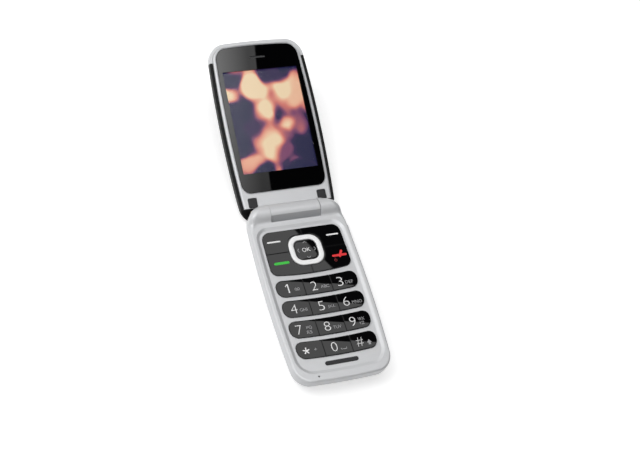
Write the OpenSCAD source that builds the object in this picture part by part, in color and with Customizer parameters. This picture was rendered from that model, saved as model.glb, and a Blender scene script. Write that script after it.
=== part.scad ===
// Clamshell mobile phone, lying on its back and opened to its stop.
// Millimetres, +Z up. The origin is the middle of the flat underside of the lower half,
// +X is the reader's right and +Y runs from the keypad to the hinge.
// Every piece of the lid is written as it lies when the phone is shut, and then opened.

/* [Body] */
// Width of both halves at their widest
body_w = 57; // [55:0.5:60]
// Height from the free end of the lower half to the hinge towers
body_len = 104; // [102:0.5:106]
// Height of the rim round the keys
base_h = 10.2; // [10:0.1:10.6]
// Thickness of the lid
lid_h = 6.8; // [6.6:0.1:7.4]
// Radius of the long curve of each side
side_r = 658; // [500:1:900]
// Radius of the round edge along the underside
under_r = 6; // [5:0.1:6]
// Radius of the small round edge on top of the rim
rim_r = 1.2; // [0.6:0.1:1.4]
// Radius of the plan corners at the free end
free_corner_r = 9; // [7:0.5:10]
// Radius of the plan corners at the hinge end
hinge_corner_r = 12; // [9:0.5:12]
// How far the free end bulges at its middle
free_arch = 1; // [0.5:0.1:1.5]
// Wall of the moulded shells
wall = 1.5; // [1.3:0.1:1.6]

/* [Hinge] */
// Distance of the hinge axis from the outer face of the towers
tower_r = 5.7; // [5.5:0.1:5.8]
// Height of the hinge axis
axis_z = 7.9; // [7.8:0.1:8.2]
// Radius of the lid's barrel between the towers
barrel_r = 5.5; // [5.3:0.1:5.5]
// Width of the lid's barrel
barrel_w = 28.4; // [26:0.1:29]
// Angle from shut to fully open
open_angle = 165.3; // [150:0.1:165.3]

/* [Keys] */
// Half width of the key field at its widest
field_half = 22.9; // [22:0.1:23]
// Height of a row of number keys
row_h = 9.72; // [9:0.01:9.8]
// Distance from one row to the next
row_pitch = 11.75; // [11.7:0.01:11.8]
// Upper end of the first row, at the sides
row_top = 6.84; // [6.5:0.01:7]
// Sag of a row at its middle
row_bow = 0.9; // [0.5:0.05:1]
// Height of the key tops over the recess floor
key_proud = 0.8; // [0.6:0.05:0.8]
// Travel of a key
key_travel = 0.3; // [0.2:0.05:0.3]
// Width and height of the navigation ring
ring_size = [18.5, 17.5];
// Width and height of the hole in the ring
ring_hole = [12.9, 11.9];
// Middle of the ring along Y
ring_y = 22.1; // [22:0.1:22.3]

/* [Display] */
// Visible picture of a 2.8 inch display
picture = [43.2, 57.6];
// Half width of the lens at its widest
lens_half = 24.74; // [24.5:0.01:25]
// Ends of the lens along Y with the lid shut, at the sides
lens_ends = [-48.4, 32.8];
// Thickness of the lens
lens_t = 1; // [0.8:0.1:1.1]

/* [Hidden] */
$fn = 48;

// Ends of the lower half, and the height at which its sides are widest
free_y = -body_len / 2;
hinge_end_y = body_len / 2;
widest_y = -2.9;
axis_y = hinge_end_y - tower_r;
corner_steps = 7;
side_steps = 8;
end_steps = 6;
eps = 0.01;
big = 200;

// Split of the lower half, and of its battery cover
split_z = 5.2;
split_gap = 0.1;
cover_z = 3.4;
cover_end_y = 16.2;
cover_gap = 0.15;
tower_y = 41.4;
under_end_y = 39;
tower_edge_r = 3.5;
floor_t = 1.2;
rib_z = 4.05;
cavity_top = base_h - 1.5;
recess_z = base_h - 0.7;
key_top_z = recess_z + key_proud;
flange_t = 0.4;
flange_gap = 0.05;
flange_out = 0.5;
key_gap = 0.15;
notch_gap = 0.15;
notch_y = 40.5;
land_y = 37.6;
foot_slope = 1.4;
col_w = 2 * field_half / 3;
ring_corner_r = 6.5;
ring_clear = 0.3;
hole_corner_r = 3.8;
ring_top_z = key_top_z + 0.05;
ring_floor_z = 8.75;
ok_floor_z = 8.4;
bumper_y = -42.5;
bumper_size = [18.4, 2.2];
mic_x = -14.8;
speaker_y = 26;

// Boards and sheets under the keys
mat_t = 0.45;
mat_z = cavity_top - flange_gap - flange_t - key_travel - 0.15 - mat_t;
dome_z = 7.05;
dome_t = 0.2;
board_z = 6.15;
board_t = 0.85;
deck_z = 5.5;
deck_t = 0.4;
bay_z = 1.45;
battery_size = [36, 48, 3.7];
battery_y = -14;
boss_r = 1.9;
screw_r = 0.8;
head_r = 1.5;
free_screws = [21, -45.3];
hinge_screws = [17.5, 38.3];

// Lid: inner and outer face when shut, and the steps of its side
lens_z = base_h + 0.53;
lid_top = lens_z + lid_h;
lid_free_y = free_y - 0.2 + free_arch;
lid_heel_y = 49.6;
lid_corner_r = 9;
lid_edge_r = 3.5;
cover_edge_z = lens_z + 0.8;
frame_in = 1.85;
frame_edge_r = 0.9;
frame_wall_z = 15;
frame_face_t = 1.6;
cap_y = -41.4;
tower_room = 0.3;
heel_start_y = 36;
heel_r = 26;
lid_wall = 1.3;
glass_gap = 0.12;
shell_gap = 0.15;
cavity_end_y = 41;
neck_top_z = 13.4;
damper_at = [19.85, 38.1];
damper_size = [5, 5.3];
damper_corner_r = 0.75;
damper_proud = 0.25;
camera_at = [0, -31];
flash_at = [9, -31];
lcd_z = lens_z + frame_face_t + 0.05;
lcd_t = 1.9;
picture_y = -6.7;
lid_board_z = 14.55;
lid_board_t = 0.8;

// Hinge parts, along X
capsule_x = [14.6, 22.7];
capsule_r = 3.2;
capsule_bore_r = 2.5;
tower_bore_r = 3.25;
tower_bore_end = 22.9;
shaft_r = 1.5;
running = 0.05;
key_square = 3;
bush_r = 3;
bush_bore_r = 2.3;
barrel_hollow_r = 4.1;
spring_x = [19.9, 22.05];
spring_turns = 4;
spring_wire_r = 0.18;
spring_r = 2.05;
spring_steps = 14;
wire_sides = 6;

// Ribbon cable: its roll, and the way of its tail to the lid's board as [y, z]
flex_t = 0.12;
roll_steps = 48;
flex_route = [[41.4, 12.2], [36.5, 12.4], [29, 14.4], [21, 14.4]];

// Side openings
volume_y = 26;
volume_len = 17;
volume_h = 2.6;
volume_z = 7.2;
volume_proud = 0.45;
usb_y = -9;
usb_size = [5.2, 7.5, 2.4];
usb_z = 3.7;

// Lets a value move from a to b
function mix(a, b, t) = a + (b - a) * t;

// Half width of the body at y: each side is one long arc
function half_w(y) = body_w / 2 - side_r + sqrt(side_r * side_r - pow(y - widest_y, 2));

// Points of an arc about c, from angle a to angle b
function arc(c, r, a, b, n) = [for (i = [0:n]) c + r * [cos(mix(a, b, i / n)), sin(mix(a, b, i / n))]];

// Rectangle from -w to w and y0 to y1 with round corners, as points that can be bent
function pad(w, y0, y1, r0, r1) = let(
        k0 = max(r0, 0.2), k1 = max(r1, 0.2), n = corner_steps, m = side_steps, e = end_steps)
    concat(
        arc([w - k0, y0 + k0], k0, -90, 0, n),
        [for (i = [1:m - 1]) [w, mix(y0 + k0, y1 - k1, i / m)]],
        arc([w - k1, y1 - k1], k1, 0, 90, n),
        [for (i = [1:e - 1]) [mix(w - k1, k1 - w, i / e), y1]],
        arc([k1 - w, y1 - k1], k1, 90, 180, n),
        [for (i = [1:m - 1]) [-w, mix(y1 - k1, y0 + k0, i / m)]],
        arc([k0 - w, y0 + k0], k0, 180, 270, n),
        [for (i = [1:e - 1]) [mix(k0 - w, w - k0, i / e), y0]]);

// Bends such points to the sides of the body, and lets their middle sag: bow0 at y0, bow1 at y1
function bend(pts, w, y0, y1, bow0, bow1) = [for (p = pts) let(u = p.x / w)
    [p.x * half_w(p.y) / half_w(widest_y), p.y - mix(bow0, bow1, (p.y - y0) / (y1 - y0)) * (1 - u * u)]];

// A bent and rounded panel, d mm smaller all round than its named size
function panel(w, y0, y1, r0, r1, bow0, bow1, d = 0) =
    bend(pad(w - d, y0 + d, y1 - d, r0 - d, r1 - d), w - d, y0 + d, y1 - d, bow0, bow1);

function base_outline(d) = panel(body_w / 2, free_y + free_arch, hinge_end_y,
    free_corner_r, hinge_corner_r, free_arch, 0, d);
function lid_outline(d) = panel(body_w / 2, lid_free_y, lid_heel_y,
    lid_corner_r, lid_corner_r, free_arch, 0, d);
function recess_outline(d) = panel(24.3, -44.9, land_y - foot_slope, 7, 5, 1.1, 0, d);
function row_outline(row, d) = panel(field_half, row_top - row * row_pitch - row_h,
    row_top - row * row_pitch, row_h * 0.43, row_h * 0.43, row_bow, row_bow, d);
function nav_outline(d) = panel(field_half, 9.98, 35, 3.5, 4.5, 1.64, 0, d);
function lens_outline(d) = panel(lens_half, lens_ends[0], lens_ends[1], 6, 5, 1.05, 0, d);

// Solid through rings of points, each given as [outline, height]
module loft(rings) {
    n = len(rings[0][0]);
    m = len(rings);
    pts = [for (ring = rings) for (p = ring[0]) [p.x, p.y, ring[1]]];
    sides = [for (k = [0:m - 2]) for (i = [0:n - 1]) let(j = (i + 1) % n, a = k * n, b = a + n)
        each [[a + i, b + i, b + j], [a + i, b + j, a + j]]];
    polyhedron(pts, concat([[for (i = [0:n - 1]) i]], sides,
        [[for (i = [n - 1:-1:0]) (m - 1) * n + i]]));
}

// Rings of a quarter round of radius r: the outline grows as the height climbs from z
function round_up(z, r, steps) =
    [for (i = [0:steps]) let(a = 90 * i / steps) [r * (1 - sin(a)), z + r * (1 - cos(a))]];
function round_in(z, r, steps) =
    [for (i = [0:steps]) let(a = 90 * i / steps) [r * (1 - cos(a)), z - r * (1 - sin(a))]];

module base_loft(top, top_r)
    loft([for (s = concat(round_up(0, under_r, 6), round_in(top, top_r, 3)))
        [base_outline(s[0]), s[1]]]);

// Everything below z, above z, or between two values of y
module below(z) translate([-big / 2, -big / 2, z - big]) cube(big);
module above(z) translate([-big / 2, -big / 2, z]) cube(big);
module span_y(y0, y1) translate([-big / 2, y0, -big / 2]) cube([big, y1 - y0, big]);
module span_x(x0, x1) translate([x0, -big / 2, -big / 2]) cube([x1 - x0, big, big]);

// Cylinder along X about the hinge axis, from x0 to x1
module on_axis(r, x0, x1) translate([x0, axis_y, axis_z]) rotate([0, 90, 0])
    cylinder(h = x1 - x0, r = r);

// A side view, given as [y, z], drawn out along X from x0 to x1
module side_view(x0, x1) translate([x0, 0, 0]) rotate([90, 0, 90])
    linear_extrude(height = x1 - x0) children();

module pill(size, h) {
    r = size.y / 2;
    for (s = [-1, 1]) translate([s * (size.x / 2 - r), 0, 0]) cylinder(h = h, r = r);
    translate([r - size.x / 2, -r, 0]) cube([size.x - 2 * r, size.y, h]);
}

// Square with round corners, as an exact prism
module soft_square(size, r, h) {
    translate([-size.x / 2 + r, -size.y / 2, 0]) cube([size.x - 2 * r, size.y, h]);
    translate([-size.x / 2, -size.y / 2 + r, 0]) cube([size.x, size.y - 2 * r, h]);
    for (x = [-1, 1], y = [-1, 1])
        translate([x * (size.x / 2 - r), y * (size.y / 2 - r), 0]) cylinder(h = h, r = r);
}

// --- Lower half ---

// Side view of the hinge end: a round underside that runs up into the towers
module end_profile() side_view(-big, big) polygon(concat(
    [[-big, -1], [under_end_y, -1], [under_end_y, 0]],
    arc([under_end_y, under_r], under_r, -84, -34, 6),
    arc([axis_y, axis_z], tower_r, -111, 156, 30),
    [[axis_y - tower_r, base_h + 1], [-big, base_h + 1]]));

module base_body() {
    intersection() {
        union() {
            base_loft(base_h, rim_r);
            intersection() {
                base_loft(axis_z + tower_r + 1, tower_edge_r);
                on_axis(tower_r, -big / 2, big / 2);
            }
        }
        end_profile();
    }
}

module notch() {
    x = barrel_w / 2 + notch_gap;
    translate([-x, notch_y, -1]) cube([2 * x, big, big]);
}

module key_windows() translate([0, 0, cavity_top - 1]) linear_extrude(height = 5) {
    for (row = [0:3]) polygon(row_outline(row, 0));
    polygon(nav_outline(0));
}

module base_cavity() {
    intersection() {
        loft([for (s = round_up(floor_t, under_r - wall, 4)) [base_outline(wall + s[0]), s[1]],
            [base_outline(wall), cavity_top]]);
        span_y(-big, notch_y - wall);
    }
}

module boss(z0) translate([0, 0, z0]) cylinder(h = cavity_top + eps - z0, r = boss_r);

module screw_places(at) for (s = [-1, 1]) translate([s * at.x, at.y, 0]) children();

module volume_window(gap) {
    translate([half_w(volume_y) - 3, volume_y - volume_len / 2 - gap, volume_z - volume_h / 2 - gap])
        cube([5, volume_len + 2 * gap, volume_h + 2 * gap]);
}

module usb_window(gap) {
    translate([half_w(usb_y) - 7, usb_y - usb_size.y / 2 - gap, usb_z - gap])
        cube([9, usb_size.y + 2 * gap, usb_size.z + 2 * gap]);
}

module keypad_housing() color("silver") difference() {
    union() {
        difference() {
            intersection() {
                base_body();
                union() {
                    above(split_z + split_gap);
                    span_y(tower_y, big);
                }
            }
            base_cavity();
        }
        // Screw bosses, down to the deck at the free end and to the rear bosses at the hinge
        screw_places(free_screws) boss(deck_z + deck_t + split_gap);
        screw_places(hinge_screws) boss(split_z + split_gap);
    }
    notch();
    loft([[recess_outline(0), recess_z], [recess_outline(-foot_slope), base_h + eps]]);
    key_windows();
    translate([0, bumper_y, recess_z - 0.4]) pill(bumper_size + [0.2, 0.2], 2);
    translate([mic_x, -48.9, cavity_top - 1]) cylinder(h = 5, r = 0.5);
    on_axis(tower_bore_r, barrel_w / 2 - 1, tower_bore_end);
    on_axis(tower_bore_r, -tower_bore_end, 1 - barrel_w / 2);
    for (at = [free_screws, hinge_screws]) screw_places(at)
        translate([0, 0, split_z]) cylinder(h = cavity_top - split_z, r = screw_r + 0.05);
    volume_window(0.2);
    usb_window(0.2);
}

module rear_housing() color("silver") difference() {
    union() {
        difference() {
            intersection() {
                base_body();
                below(split_z);
                span_y(-big, tower_y - 0.1);
                union() {
                    above(cover_z + cover_gap);
                    span_y(cover_end_y + cover_gap, big);
                }
            }
            base_cavity();
        }
        // Deck over the battery, and the wall at the end of its bay
        translate([0, 0, deck_z]) linear_extrude(height = deck_t)
            polygon(panel(26.6, -49, cover_end_y + 1.5, 8, 1, free_arch, 0));
        translate([-25.5, cover_end_y + cover_gap, floor_t / 2])
            cube([51, 1.2, deck_z + eps - floor_t / 2]);
        screw_places(hinge_screws) cylinder(h = split_z, r = 2.4);
        // Ribs that stand the deck on the side walls
        for (s = [-1, 1]) translate([s * 25.8 - 0.55, -30, rib_z])
            cube([1.1, 40, deck_z + eps - rib_z]);
    }
    notch();
    // Sound slots over the loudspeaker
    translate([0, speaker_y, -1]) for (i = [-2:2]) translate([0, i * 2, 0]) pill([11, 1], 4);
    screw_places(hinge_screws) {
        translate([0, 0, -1]) cylinder(h = 2.8, r = head_r + 0.1);
        cylinder(h = 20, r = screw_r + 0.05);
    }
    screw_places(free_screws) translate([0, 0, 1]) cylinder(h = 20, r = screw_r + 0.05);
    usb_window(0.2);
    // Holes in the deck for the SIM socket and the battery contacts
    translate([-13, -32, deck_z - 1]) cube([26, 16, 3]);
    translate([-7, 10.1, deck_z - 1]) cube([14, 5, 3]);
}

module battery_cover() color("silver") difference() {
    intersection() {
        base_body();
        below(cover_z);
        span_y(-big, cover_end_y);
    }
    base_cavity();
    // Thumb grip of three grooves
    for (i = [0:2]) translate([0, 9 - 2 * i, -0.6]) pill([16, 0.9], 1);
}

module battery() color("dimgray") {
    translate([-battery_size.x / 2, battery_y - battery_size.y / 2, bay_z]) cube(battery_size);
}

module battery_contacts() color("black") {
    translate([-6, 10.4, 2]) cube([12, 4, board_z - 2.05]);
    for (i = [-1:1]) translate([i * 3 - 0.5, battery_y + battery_size.y / 2 + 0.05, 3])
        cube([1, 0.4, 1.4]);
}

module boss_holes(z0, h) for (at = [free_screws, hinge_screws])
    screw_places(at) translate([0, 0, z0]) cylinder(h = h, r = boss_r + 0.4);

module main_board() color("darkgreen") {
    difference() {
        translate([0, 0, board_z]) linear_extrude(height = board_t)
            polygon(panel(24.4, -44, 38.6, 5, 3, 0.5, 0));
        boss_holes(board_z - 1, 4);
    }
    // Shield can, processor and memory under the board
    translate([-20, 19, board_z - 1.5]) cube([26, 16.6, 1.5 + eps]);
    translate([9, 21, board_z - 1.1]) cube([9, 9, 1.1 + eps]);
}

// Film with one snap dome under each key
module dome_sheet() color("gainsboro") {
    translate([-19.8, -39, dome_z]) cube([39.6, 73, dome_t]);
    for (row = [0:3], col = [-1:1])
        dome(col * col_w, row_top - row_h / 2 - row * row_pitch - row_bow / 2);
    for (x = [-1, 1], y = [-1, 1]) dome(x * 15.5, ring_y + y * 6.5);
    dome(0, ring_y);
}

module dome(x, y) translate([x, y, dome_z]) cylinder(h = dome_t + 0.08, r = 2.2);

module key_mat() color("whitesmoke") {
    translate([-19.9, -39.5, mat_z]) cube([39.8, 75, mat_t]);
}

module loudspeaker() color("black") translate([0, speaker_y, floor_t + 0.1]) {
    soft_square([15, 11], 3, 2.6);
    translate([-2, 5, 0.6]) cube([4, 2, 1.2]);
}

// Small motor lying along X, with a weight off centre on its shaft
module vibration_motor() color("silver") translate([3, -47, 7.3]) rotate([0, 90, 0]) {
    cylinder(h = 9, r = 1.3);
    cylinder(h = 10, r = 0.35);
    translate([-0.3, 0, 9.4]) cylinder(h = 2.6, r = 1);
}

module microphone() color("goldenrod")
    translate([mic_x, -47.8, cavity_top - 1.3]) soft_square([3.4, 3], 0.4, 1.2);

module usb_socket() color("silver") {
    x = half_w(usb_y) - 0.6 - usb_size.x;
    difference() {
        translate([x, usb_y - usb_size.y / 2, usb_z]) cube(usb_size);
        translate([x + 0.6, usb_y - usb_size.y / 2 + 0.3, usb_z + 0.3])
            cube([usb_size.x, usb_size.y - 0.6, usb_size.z - 0.6]);
    }
    translate([x + 0.5, usb_y - 2.4, usb_z + 0.9]) cube([usb_size.x - 1.2, 4.8, 0.5]);
}

module sim_socket() color("gold") difference() {
    translate([-12.6, -31.6, deck_z - 0.25]) cube([25.2, 15.2, 0.85]);
    translate([-11.8, -31, deck_z - 1]) cube([21, 13, 1.2]);
}

// Bent strip along the free end, under the microphone
module antenna() color("gold") translate([-18, -49.1, 6]) {
    cube([14, 0.4, 1.2]);
    cube([0.5, 3.8, 1.2]);
}

module housing_screws() color("dimgray") {
    screw_places(free_screws) {
        translate([0, 0, deck_z - 0.85]) cylinder(h = 0.8, r = head_r);
        translate([0, 0, deck_z - 0.5]) cylinder(h = 2.9, r = screw_r);
    }
    screw_places(hinge_screws) difference() {
        union() {
            translate([0, 0, 0.9]) cylinder(h = 0.8, r = head_r);
            translate([0, 0, 1]) cylinder(h = 7, r = screw_r);
        }
        for (a = [0, 90]) translate([0, 0, 0.8]) rotate(a) translate([-0.9, -0.15, 0]) cube([1.8, 0.3, 0.5]);
    }
}

module bumper_strip() color("dimgray") translate([0, bumper_y, recess_z - 0.35])
    pill(bumper_size, 1);

// Rocker through the right side: its bar, the flange that holds it in and the nub on its switch
module volume_key() color("silver") translate([half_w(volume_y), volume_y, volume_z]) {
    rotate([0, -90, 0]) translate([0, 0, -volume_proud]) rotate(90)
        pill([volume_len, volume_h], volume_proud + 2.4);
    translate([-3.2, -volume_len / 2 - 0.6, 0.1 - volume_h / 2])
        cube([0.9, volume_len + 1.2, volume_h - 0.2]);
    translate([-3.95, -0.8, -0.8]) cube([1, 1.6, 1.6]);
}

// --- Keys ---

// One key of a panel: its cap through the window and a flange under the recess floor
module cap() {
    flange_z = cavity_top - flange_gap - flange_t;
    intersection() {
        translate([0, 0, flange_z]) linear_extrude(height = key_top_z - flange_z) children(0);
        children(2);
    }
    intersection() {
        translate([0, 0, flange_z]) linear_extrude(height = flange_t) children(1);
        children(2);
    }
}

// A number key takes the first, second or third part of its row
module number_key(row, col) {
    x0 = (col - 1.5) * col_w;
    color("#101012") cap() {
        polygon(row_outline(row, key_gap));
        polygon(row_outline(row, -flange_out));
        span_x(col == 0 ? -big : x0 + key_gap / 2, col == 2 ? big : x0 + col_w - key_gap / 2);
    }
}

// One quarter of the panel round the ring; sx and sy say which
module quarter_key(sx, sy) {
    color("#101012") difference() {
        cap() {
            polygon(nav_outline(key_gap));
            polygon(nav_outline(-flange_out));
            translate([sx * (big + key_gap) / 2, ring_y + sy * (big + key_gap) / 2, 0])
                cube([big, big, big], center = true);
        }
        translate([0, ring_y, 0])
            soft_square(ring_size + 2 * [ring_clear, ring_clear], ring_corner_r - 0.3, 20);
    }
}

module nav_ring() color("white") translate([0, ring_y, 0]) difference() {
    translate([0, 0, ring_floor_z])
        soft_square(ring_size, ring_corner_r, ring_top_z - ring_floor_z);
    translate([0, 0, 5]) soft_square(ring_hole, hole_corner_r, 10);
}

// Plate that the ring tilts on, left and right, while it tilts up and down itself
module nav_plate() color("gray") translate([0, ring_y, 0]) difference() {
    translate([0, 0, ring_floor_z - 0.55]) soft_square(ring_size - [1.4, 1.4], 6, 0.3);
    translate([0, 0, 5]) soft_square(ring_hole - [0.2, 0.2], hole_corner_r - 0.1, 10);
}

module ok_key() color("#101012") translate([0, ring_y, 0]) {
    translate([0, 0, ok_floor_z])
        soft_square(ring_hole - [0.7, 0.7], hole_corner_r - 0.35, key_top_z - 0.05 - ok_floor_z);
    translate([0, 0, ok_floor_z - 0.2]) cylinder(h = 0.3, r = 1.5);
}

// --- Hinge ---

module hinge_capsule() color("dimgray") difference() {
    on_axis(capsule_r, capsule_x[0], capsule_x[1]);
    on_axis(capsule_bore_r, capsule_x[0] + 1, capsule_x[1] - 0.6);
    on_axis(shaft_r + running, capsule_x[0] - 1, capsule_x[0] + 2);
}

// Two lobes on the face of a disc, for the click at each end of the lid's swing
module lobes(x0, x1, r_in, r_out) intersection() {
    difference() {
        on_axis(r_out, x0, x1);
        on_axis(r_in, x0 - 1, x1 + 1);
    }
    translate([0, axis_y - 0.8, axis_z - big / 2]) cube([big, 1.6, big]);
}

module hinge_follower() color("silver") difference() {
    union() {
        on_axis(2.4, 18.9, 19.8);
        lobes(18.15, 18.9 + eps, 1.62, 2.4);
    }
    on_axis(shaft_r + 0.1, 18, 21);
}

// Coil spring: a round wire along a helix
function at(i, k) = i * wire_sides + k % wire_sides;
module hinge_spring() color("silver") {
    n = spring_turns * spring_steps;
    pts = [for (i = [0:n]) let(a = 360 * i / spring_steps,
            x = mix(spring_x[0] + spring_wire_r, spring_x[1] - spring_wire_r, i / n))
        for (k = [0:wire_sides - 1]) let(b = 360 * k / wire_sides,
            r = spring_r + spring_wire_r * cos(b))
        [x + spring_wire_r * sin(b), axis_y + r * cos(a), axis_z + r * sin(a)]];
    faces = concat(
        [[for (k = [0:wire_sides - 1]) k]],
        [for (i = [0:n - 1]) for (k = [0:wire_sides - 1])
            each [[at(i, k), at(i + 1, k), at(i + 1, k + 1)],
                [at(i, k), at(i + 1, k + 1), at(i, k + 1)]]],
        [[for (k = [wire_sides - 1:-1:0]) at(n, k)]]);
    polyhedron(pts, faces);
}

module hinge_bush() color("ivory") difference() {
    union() {
        on_axis(tower_bore_r - 0.02, -22.7, -14.5);
        on_axis(bush_r, -15, -11.2);
    }
    on_axis(bush_bore_r, -30, 0);
}

// Turns a piece of the lid from shut to open
module opened() translate([0, axis_y, axis_z]) rotate([-open_angle, 0, 0])
    translate([0, -axis_y, -axis_z]) children();

module hinge_shaft() color("gainsboro") opened() {
    on_axis(shaft_r, 12, 21.6);
    translate([8.6, axis_y - key_square / 2, axis_z - key_square / 2])
        cube([4, key_square, key_square]);
}

module hinge_cam() color("silver") opened() difference() {
    union() {
        on_axis(2.4, 15.8, 17.2);
        lobes(17.2 - eps, 18, 1.62, 2.4);
    }
    on_axis(shaft_r + 0.01, 15, 19);
}

// Ribbon rolled up on the hinge axis, with a tail that runs through the neck to the lid's board
function roll_point(i, inset) = let(a = 150 - 540 * (1 - i / roll_steps),
    r = 0.8 + 1.1 * i / roll_steps - inset) [axis_y + r * cos(a), axis_z + r * sin(a)];
module flex_cable() color("peru") opened() {
    side_view(-22, -2) polygon(concat([for (i = [0:roll_steps]) roll_point(i, 0)],
        [for (i = [roll_steps:-1:0]) roll_point(i, flex_t)]));
    route = concat([for (i = [roll_steps - 4:roll_steps]) roll_point(i, 0)], flex_route);
    back = [for (i = [len(route) - 1:-1:0]) route[i] - [0, flex_t]];
    side_view(-9, -2) polygon(concat(route, back));
}

// --- Lid ---

// Side view of the lid: its heel falls away so that it clears the table when open
module lid_profile() side_view(-big, big) polygon(concat(
    [[lid_heel_y + 1, 0], [lid_heel_y + 1, lid_top - heel_r
        + sqrt(heel_r * heel_r - pow(lid_heel_y + 1 - heel_start_y, 2))]],
    arc([heel_start_y, lid_top - heel_r], heel_r, 58, 90, 8),
    [[-big, lid_top + eps], [-big, 0]]));

module tower_space(r) {
    inner = barrel_w / 2 + notch_gap / 2;
    on_axis(r, inner, big / 2);
    on_axis(r, -big / 2, -inner);
}

module lid_cavity() intersection() {
    loft([[lid_outline(frame_in - shell_gap), 0],
        [lid_outline(frame_in - shell_gap), frame_wall_z + shell_gap],
        [lid_outline(frame_in + 1.2), lid_top - lid_wall]]);
    span_y(-big, cavity_end_y);
}

// The lid's outer shell, cover and end cap together
module lid_outer() difference() {
    intersection() {
        loft(concat([[lid_outline(0), cover_edge_z]],
            [for (s = round_in(lid_top, lid_edge_r, 5)) [lid_outline(s[0]), s[1]]]));
        lid_profile();
    }
    lid_cavity();
    on_axis(tower_r + tower_room, -big / 2, big / 2);
    // Pocket for the neck of the frame
    translate([-barrel_w / 2 - shell_gap, cavity_end_y - 1, 0])
        cube([barrel_w + 2 * shell_gap, 4.5, neck_top_z + shell_gap]);
}

module lid_cover() color("#151517") opened() difference() {
    lid_outer();
    span_y(-big, cap_y);
    translate([camera_at.x, camera_at.y, 10]) cylinder(h = 20, r = 4.1);
    translate([flash_at.x, flash_at.y, 10]) cylinder(h = 20, r = 1.6);
}

module lid_end_cap() color("silver") opened() intersection() {
    lid_outer();
    span_y(-big, cap_y - 0.1);
}

// Side view of the neck that ties the barrel to the chin of the lid
module neck_profile() polygon(concat(
    [[37, lens_z + 0.3], [38.5, lens_z]],
    arc([39.6, lens_z - 3], 3, 90, 48, 4),
    [[axis_y - 3, axis_z], [axis_y, axis_z], [axis_y - 2, neck_top_z - 0.4],
        [40.4, neck_top_z], [37, neck_top_z]]));

module lid_frame() color("silver") opened() difference() {
    union() {
        difference() {
            intersection() {
                loft(concat(
                    [for (s = round_up(lens_z, frame_edge_r, 3)) [lid_outline(frame_in + s[0]), s[1]]],
                    [[lid_outline(frame_in), frame_wall_z]]));
                span_y(-big, cavity_end_y - 0.1);
            }
            intersection() {
                loft([[lid_outline(frame_in + lid_wall), lens_z + frame_face_t],
                    [lid_outline(frame_in + lid_wall), 20]]);
                span_y(-big, 36.6);
            }
        }
        on_axis(barrel_r, -barrel_w / 2, barrel_w / 2);
        side_view(-barrel_w / 2, barrel_w / 2) neck_profile();
    }
    tower_space(tower_r + tower_room);
    // Seat of the lens, with the display's window through it
    translate([0, 0, lens_z - 1]) linear_extrude(height = 1 + lens_t + 0.05)
        polygon(lens_outline(-glass_gap));
    translate([-picture.x / 2 - 0.4, picture_y - picture.y / 2 - 0.4, 0])
        cube([picture.x + 0.8, picture.y + 0.8, 20]);
    translate([0, -42.6, 0]) pill([10, 1.6], 20);
    // Seats of the dampers and the screws under them
    screw_places(damper_at) translate([0, 0, lens_z - 1])
        soft_square(damper_size + [0.2, 0.2], damper_corner_r + 0.05, 1.5);
    screw_places(damper_at) cylinder(h = 20, r = screw_r + 0.05);
    screw_places(damper_at) translate([0, 0, lens_z]) cylinder(h = 1.4, r = head_r + 0.1);
    // Bores of the barrel: bush, ribbon and shaft
    on_axis(bush_r + running, -barrel_w / 2 - 1, -11);
    on_axis(barrel_hollow_r, -11.2, 7.8);
    on_axis(bush_r, barrel_w / 2 - 1.3, barrel_w / 2 + 1);
    translate([7, axis_y - key_square / 2 - 0.02, axis_z - key_square / 2 - 0.02])
        cube([20, key_square + 0.04, key_square + 0.04]);
    // Slot through the neck for the ribbon
    side_view(-9.3, -1.7) polygon([[44.6, 8.3], [41.2, 11.7], [36, 11.9], [36, 12.8],
        [41.6, 12.6], [44.6, 9.7]]);
}

module lens() color("#0c0c0e") opened() difference() {
    translate([0, 0, lens_z]) linear_extrude(height = lens_t) polygon(lens_outline(0));
    translate([0, -42.6, lens_z - 1]) pill([9.3, 1.1], 5);
}

module lcd_module() color("lightslategray") opened() {
    translate([-24.2, picture_y - 31.4, lcd_z]) cube([48.4, 65.4, lcd_t]);
}

module lid_board() color("darkgreen") opened() difference() {
    translate([-19, -39, lid_board_z]) cube([38, 62, lid_board_t]);
    translate([camera_at.x - 4.2, camera_at.y - 4.2, 10]) cube([8.4, 8.4, 10]);
}

module earpiece() color("black") opened()
    translate([0, -43.2, lens_z + frame_face_t + 0.1]) soft_square([12, 6], 2.5, 2.2);

module earpiece_mesh() color("gray") opened() translate([0, -42.6, lens_z + 0.35]) pill([9.2, 1], 1);

module lid_dampers() color("#2a2a2c") opened() screw_places(damper_at)
    translate([0, 0, lens_z - damper_proud])
        soft_square(damper_size, damper_corner_r, damper_proud + 0.45);

module lid_screws() color("dimgray") opened() screw_places(damper_at) {
    translate([0, 0, lens_z + 0.55]) cylinder(h = 0.8, r = head_r);
    translate([0, 0, lens_z + 1]) cylinder(h = 3.2, r = screw_r);
}

module lid_magnet() color("silver") opened()
    translate([-16, -43.4, lens_z + frame_face_t + 0.1]) cylinder(h = 1.6, r = 1.8);

module camera_module() color("black") opened()
    translate([camera_at.x, camera_at.y, lcd_z + lcd_t + 0.05]) {
        translate([-4, -4, 0]) cube([8, 8, 1.5]);
        cylinder(h = 2.2, r = 3);
    }

module camera_window() color("#0c0c0e") opened()
    translate([camera_at.x, camera_at.y, lid_top - 0.75]) cylinder(h = 0.75, r = 4);

module flash_led() color("lightyellow") opened() {
    z = lid_board_z + lid_board_t;
    translate([flash_at.x, flash_at.y, z]) cylinder(h = lid_top - 0.1 - z, r = 1.5);
}

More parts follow.
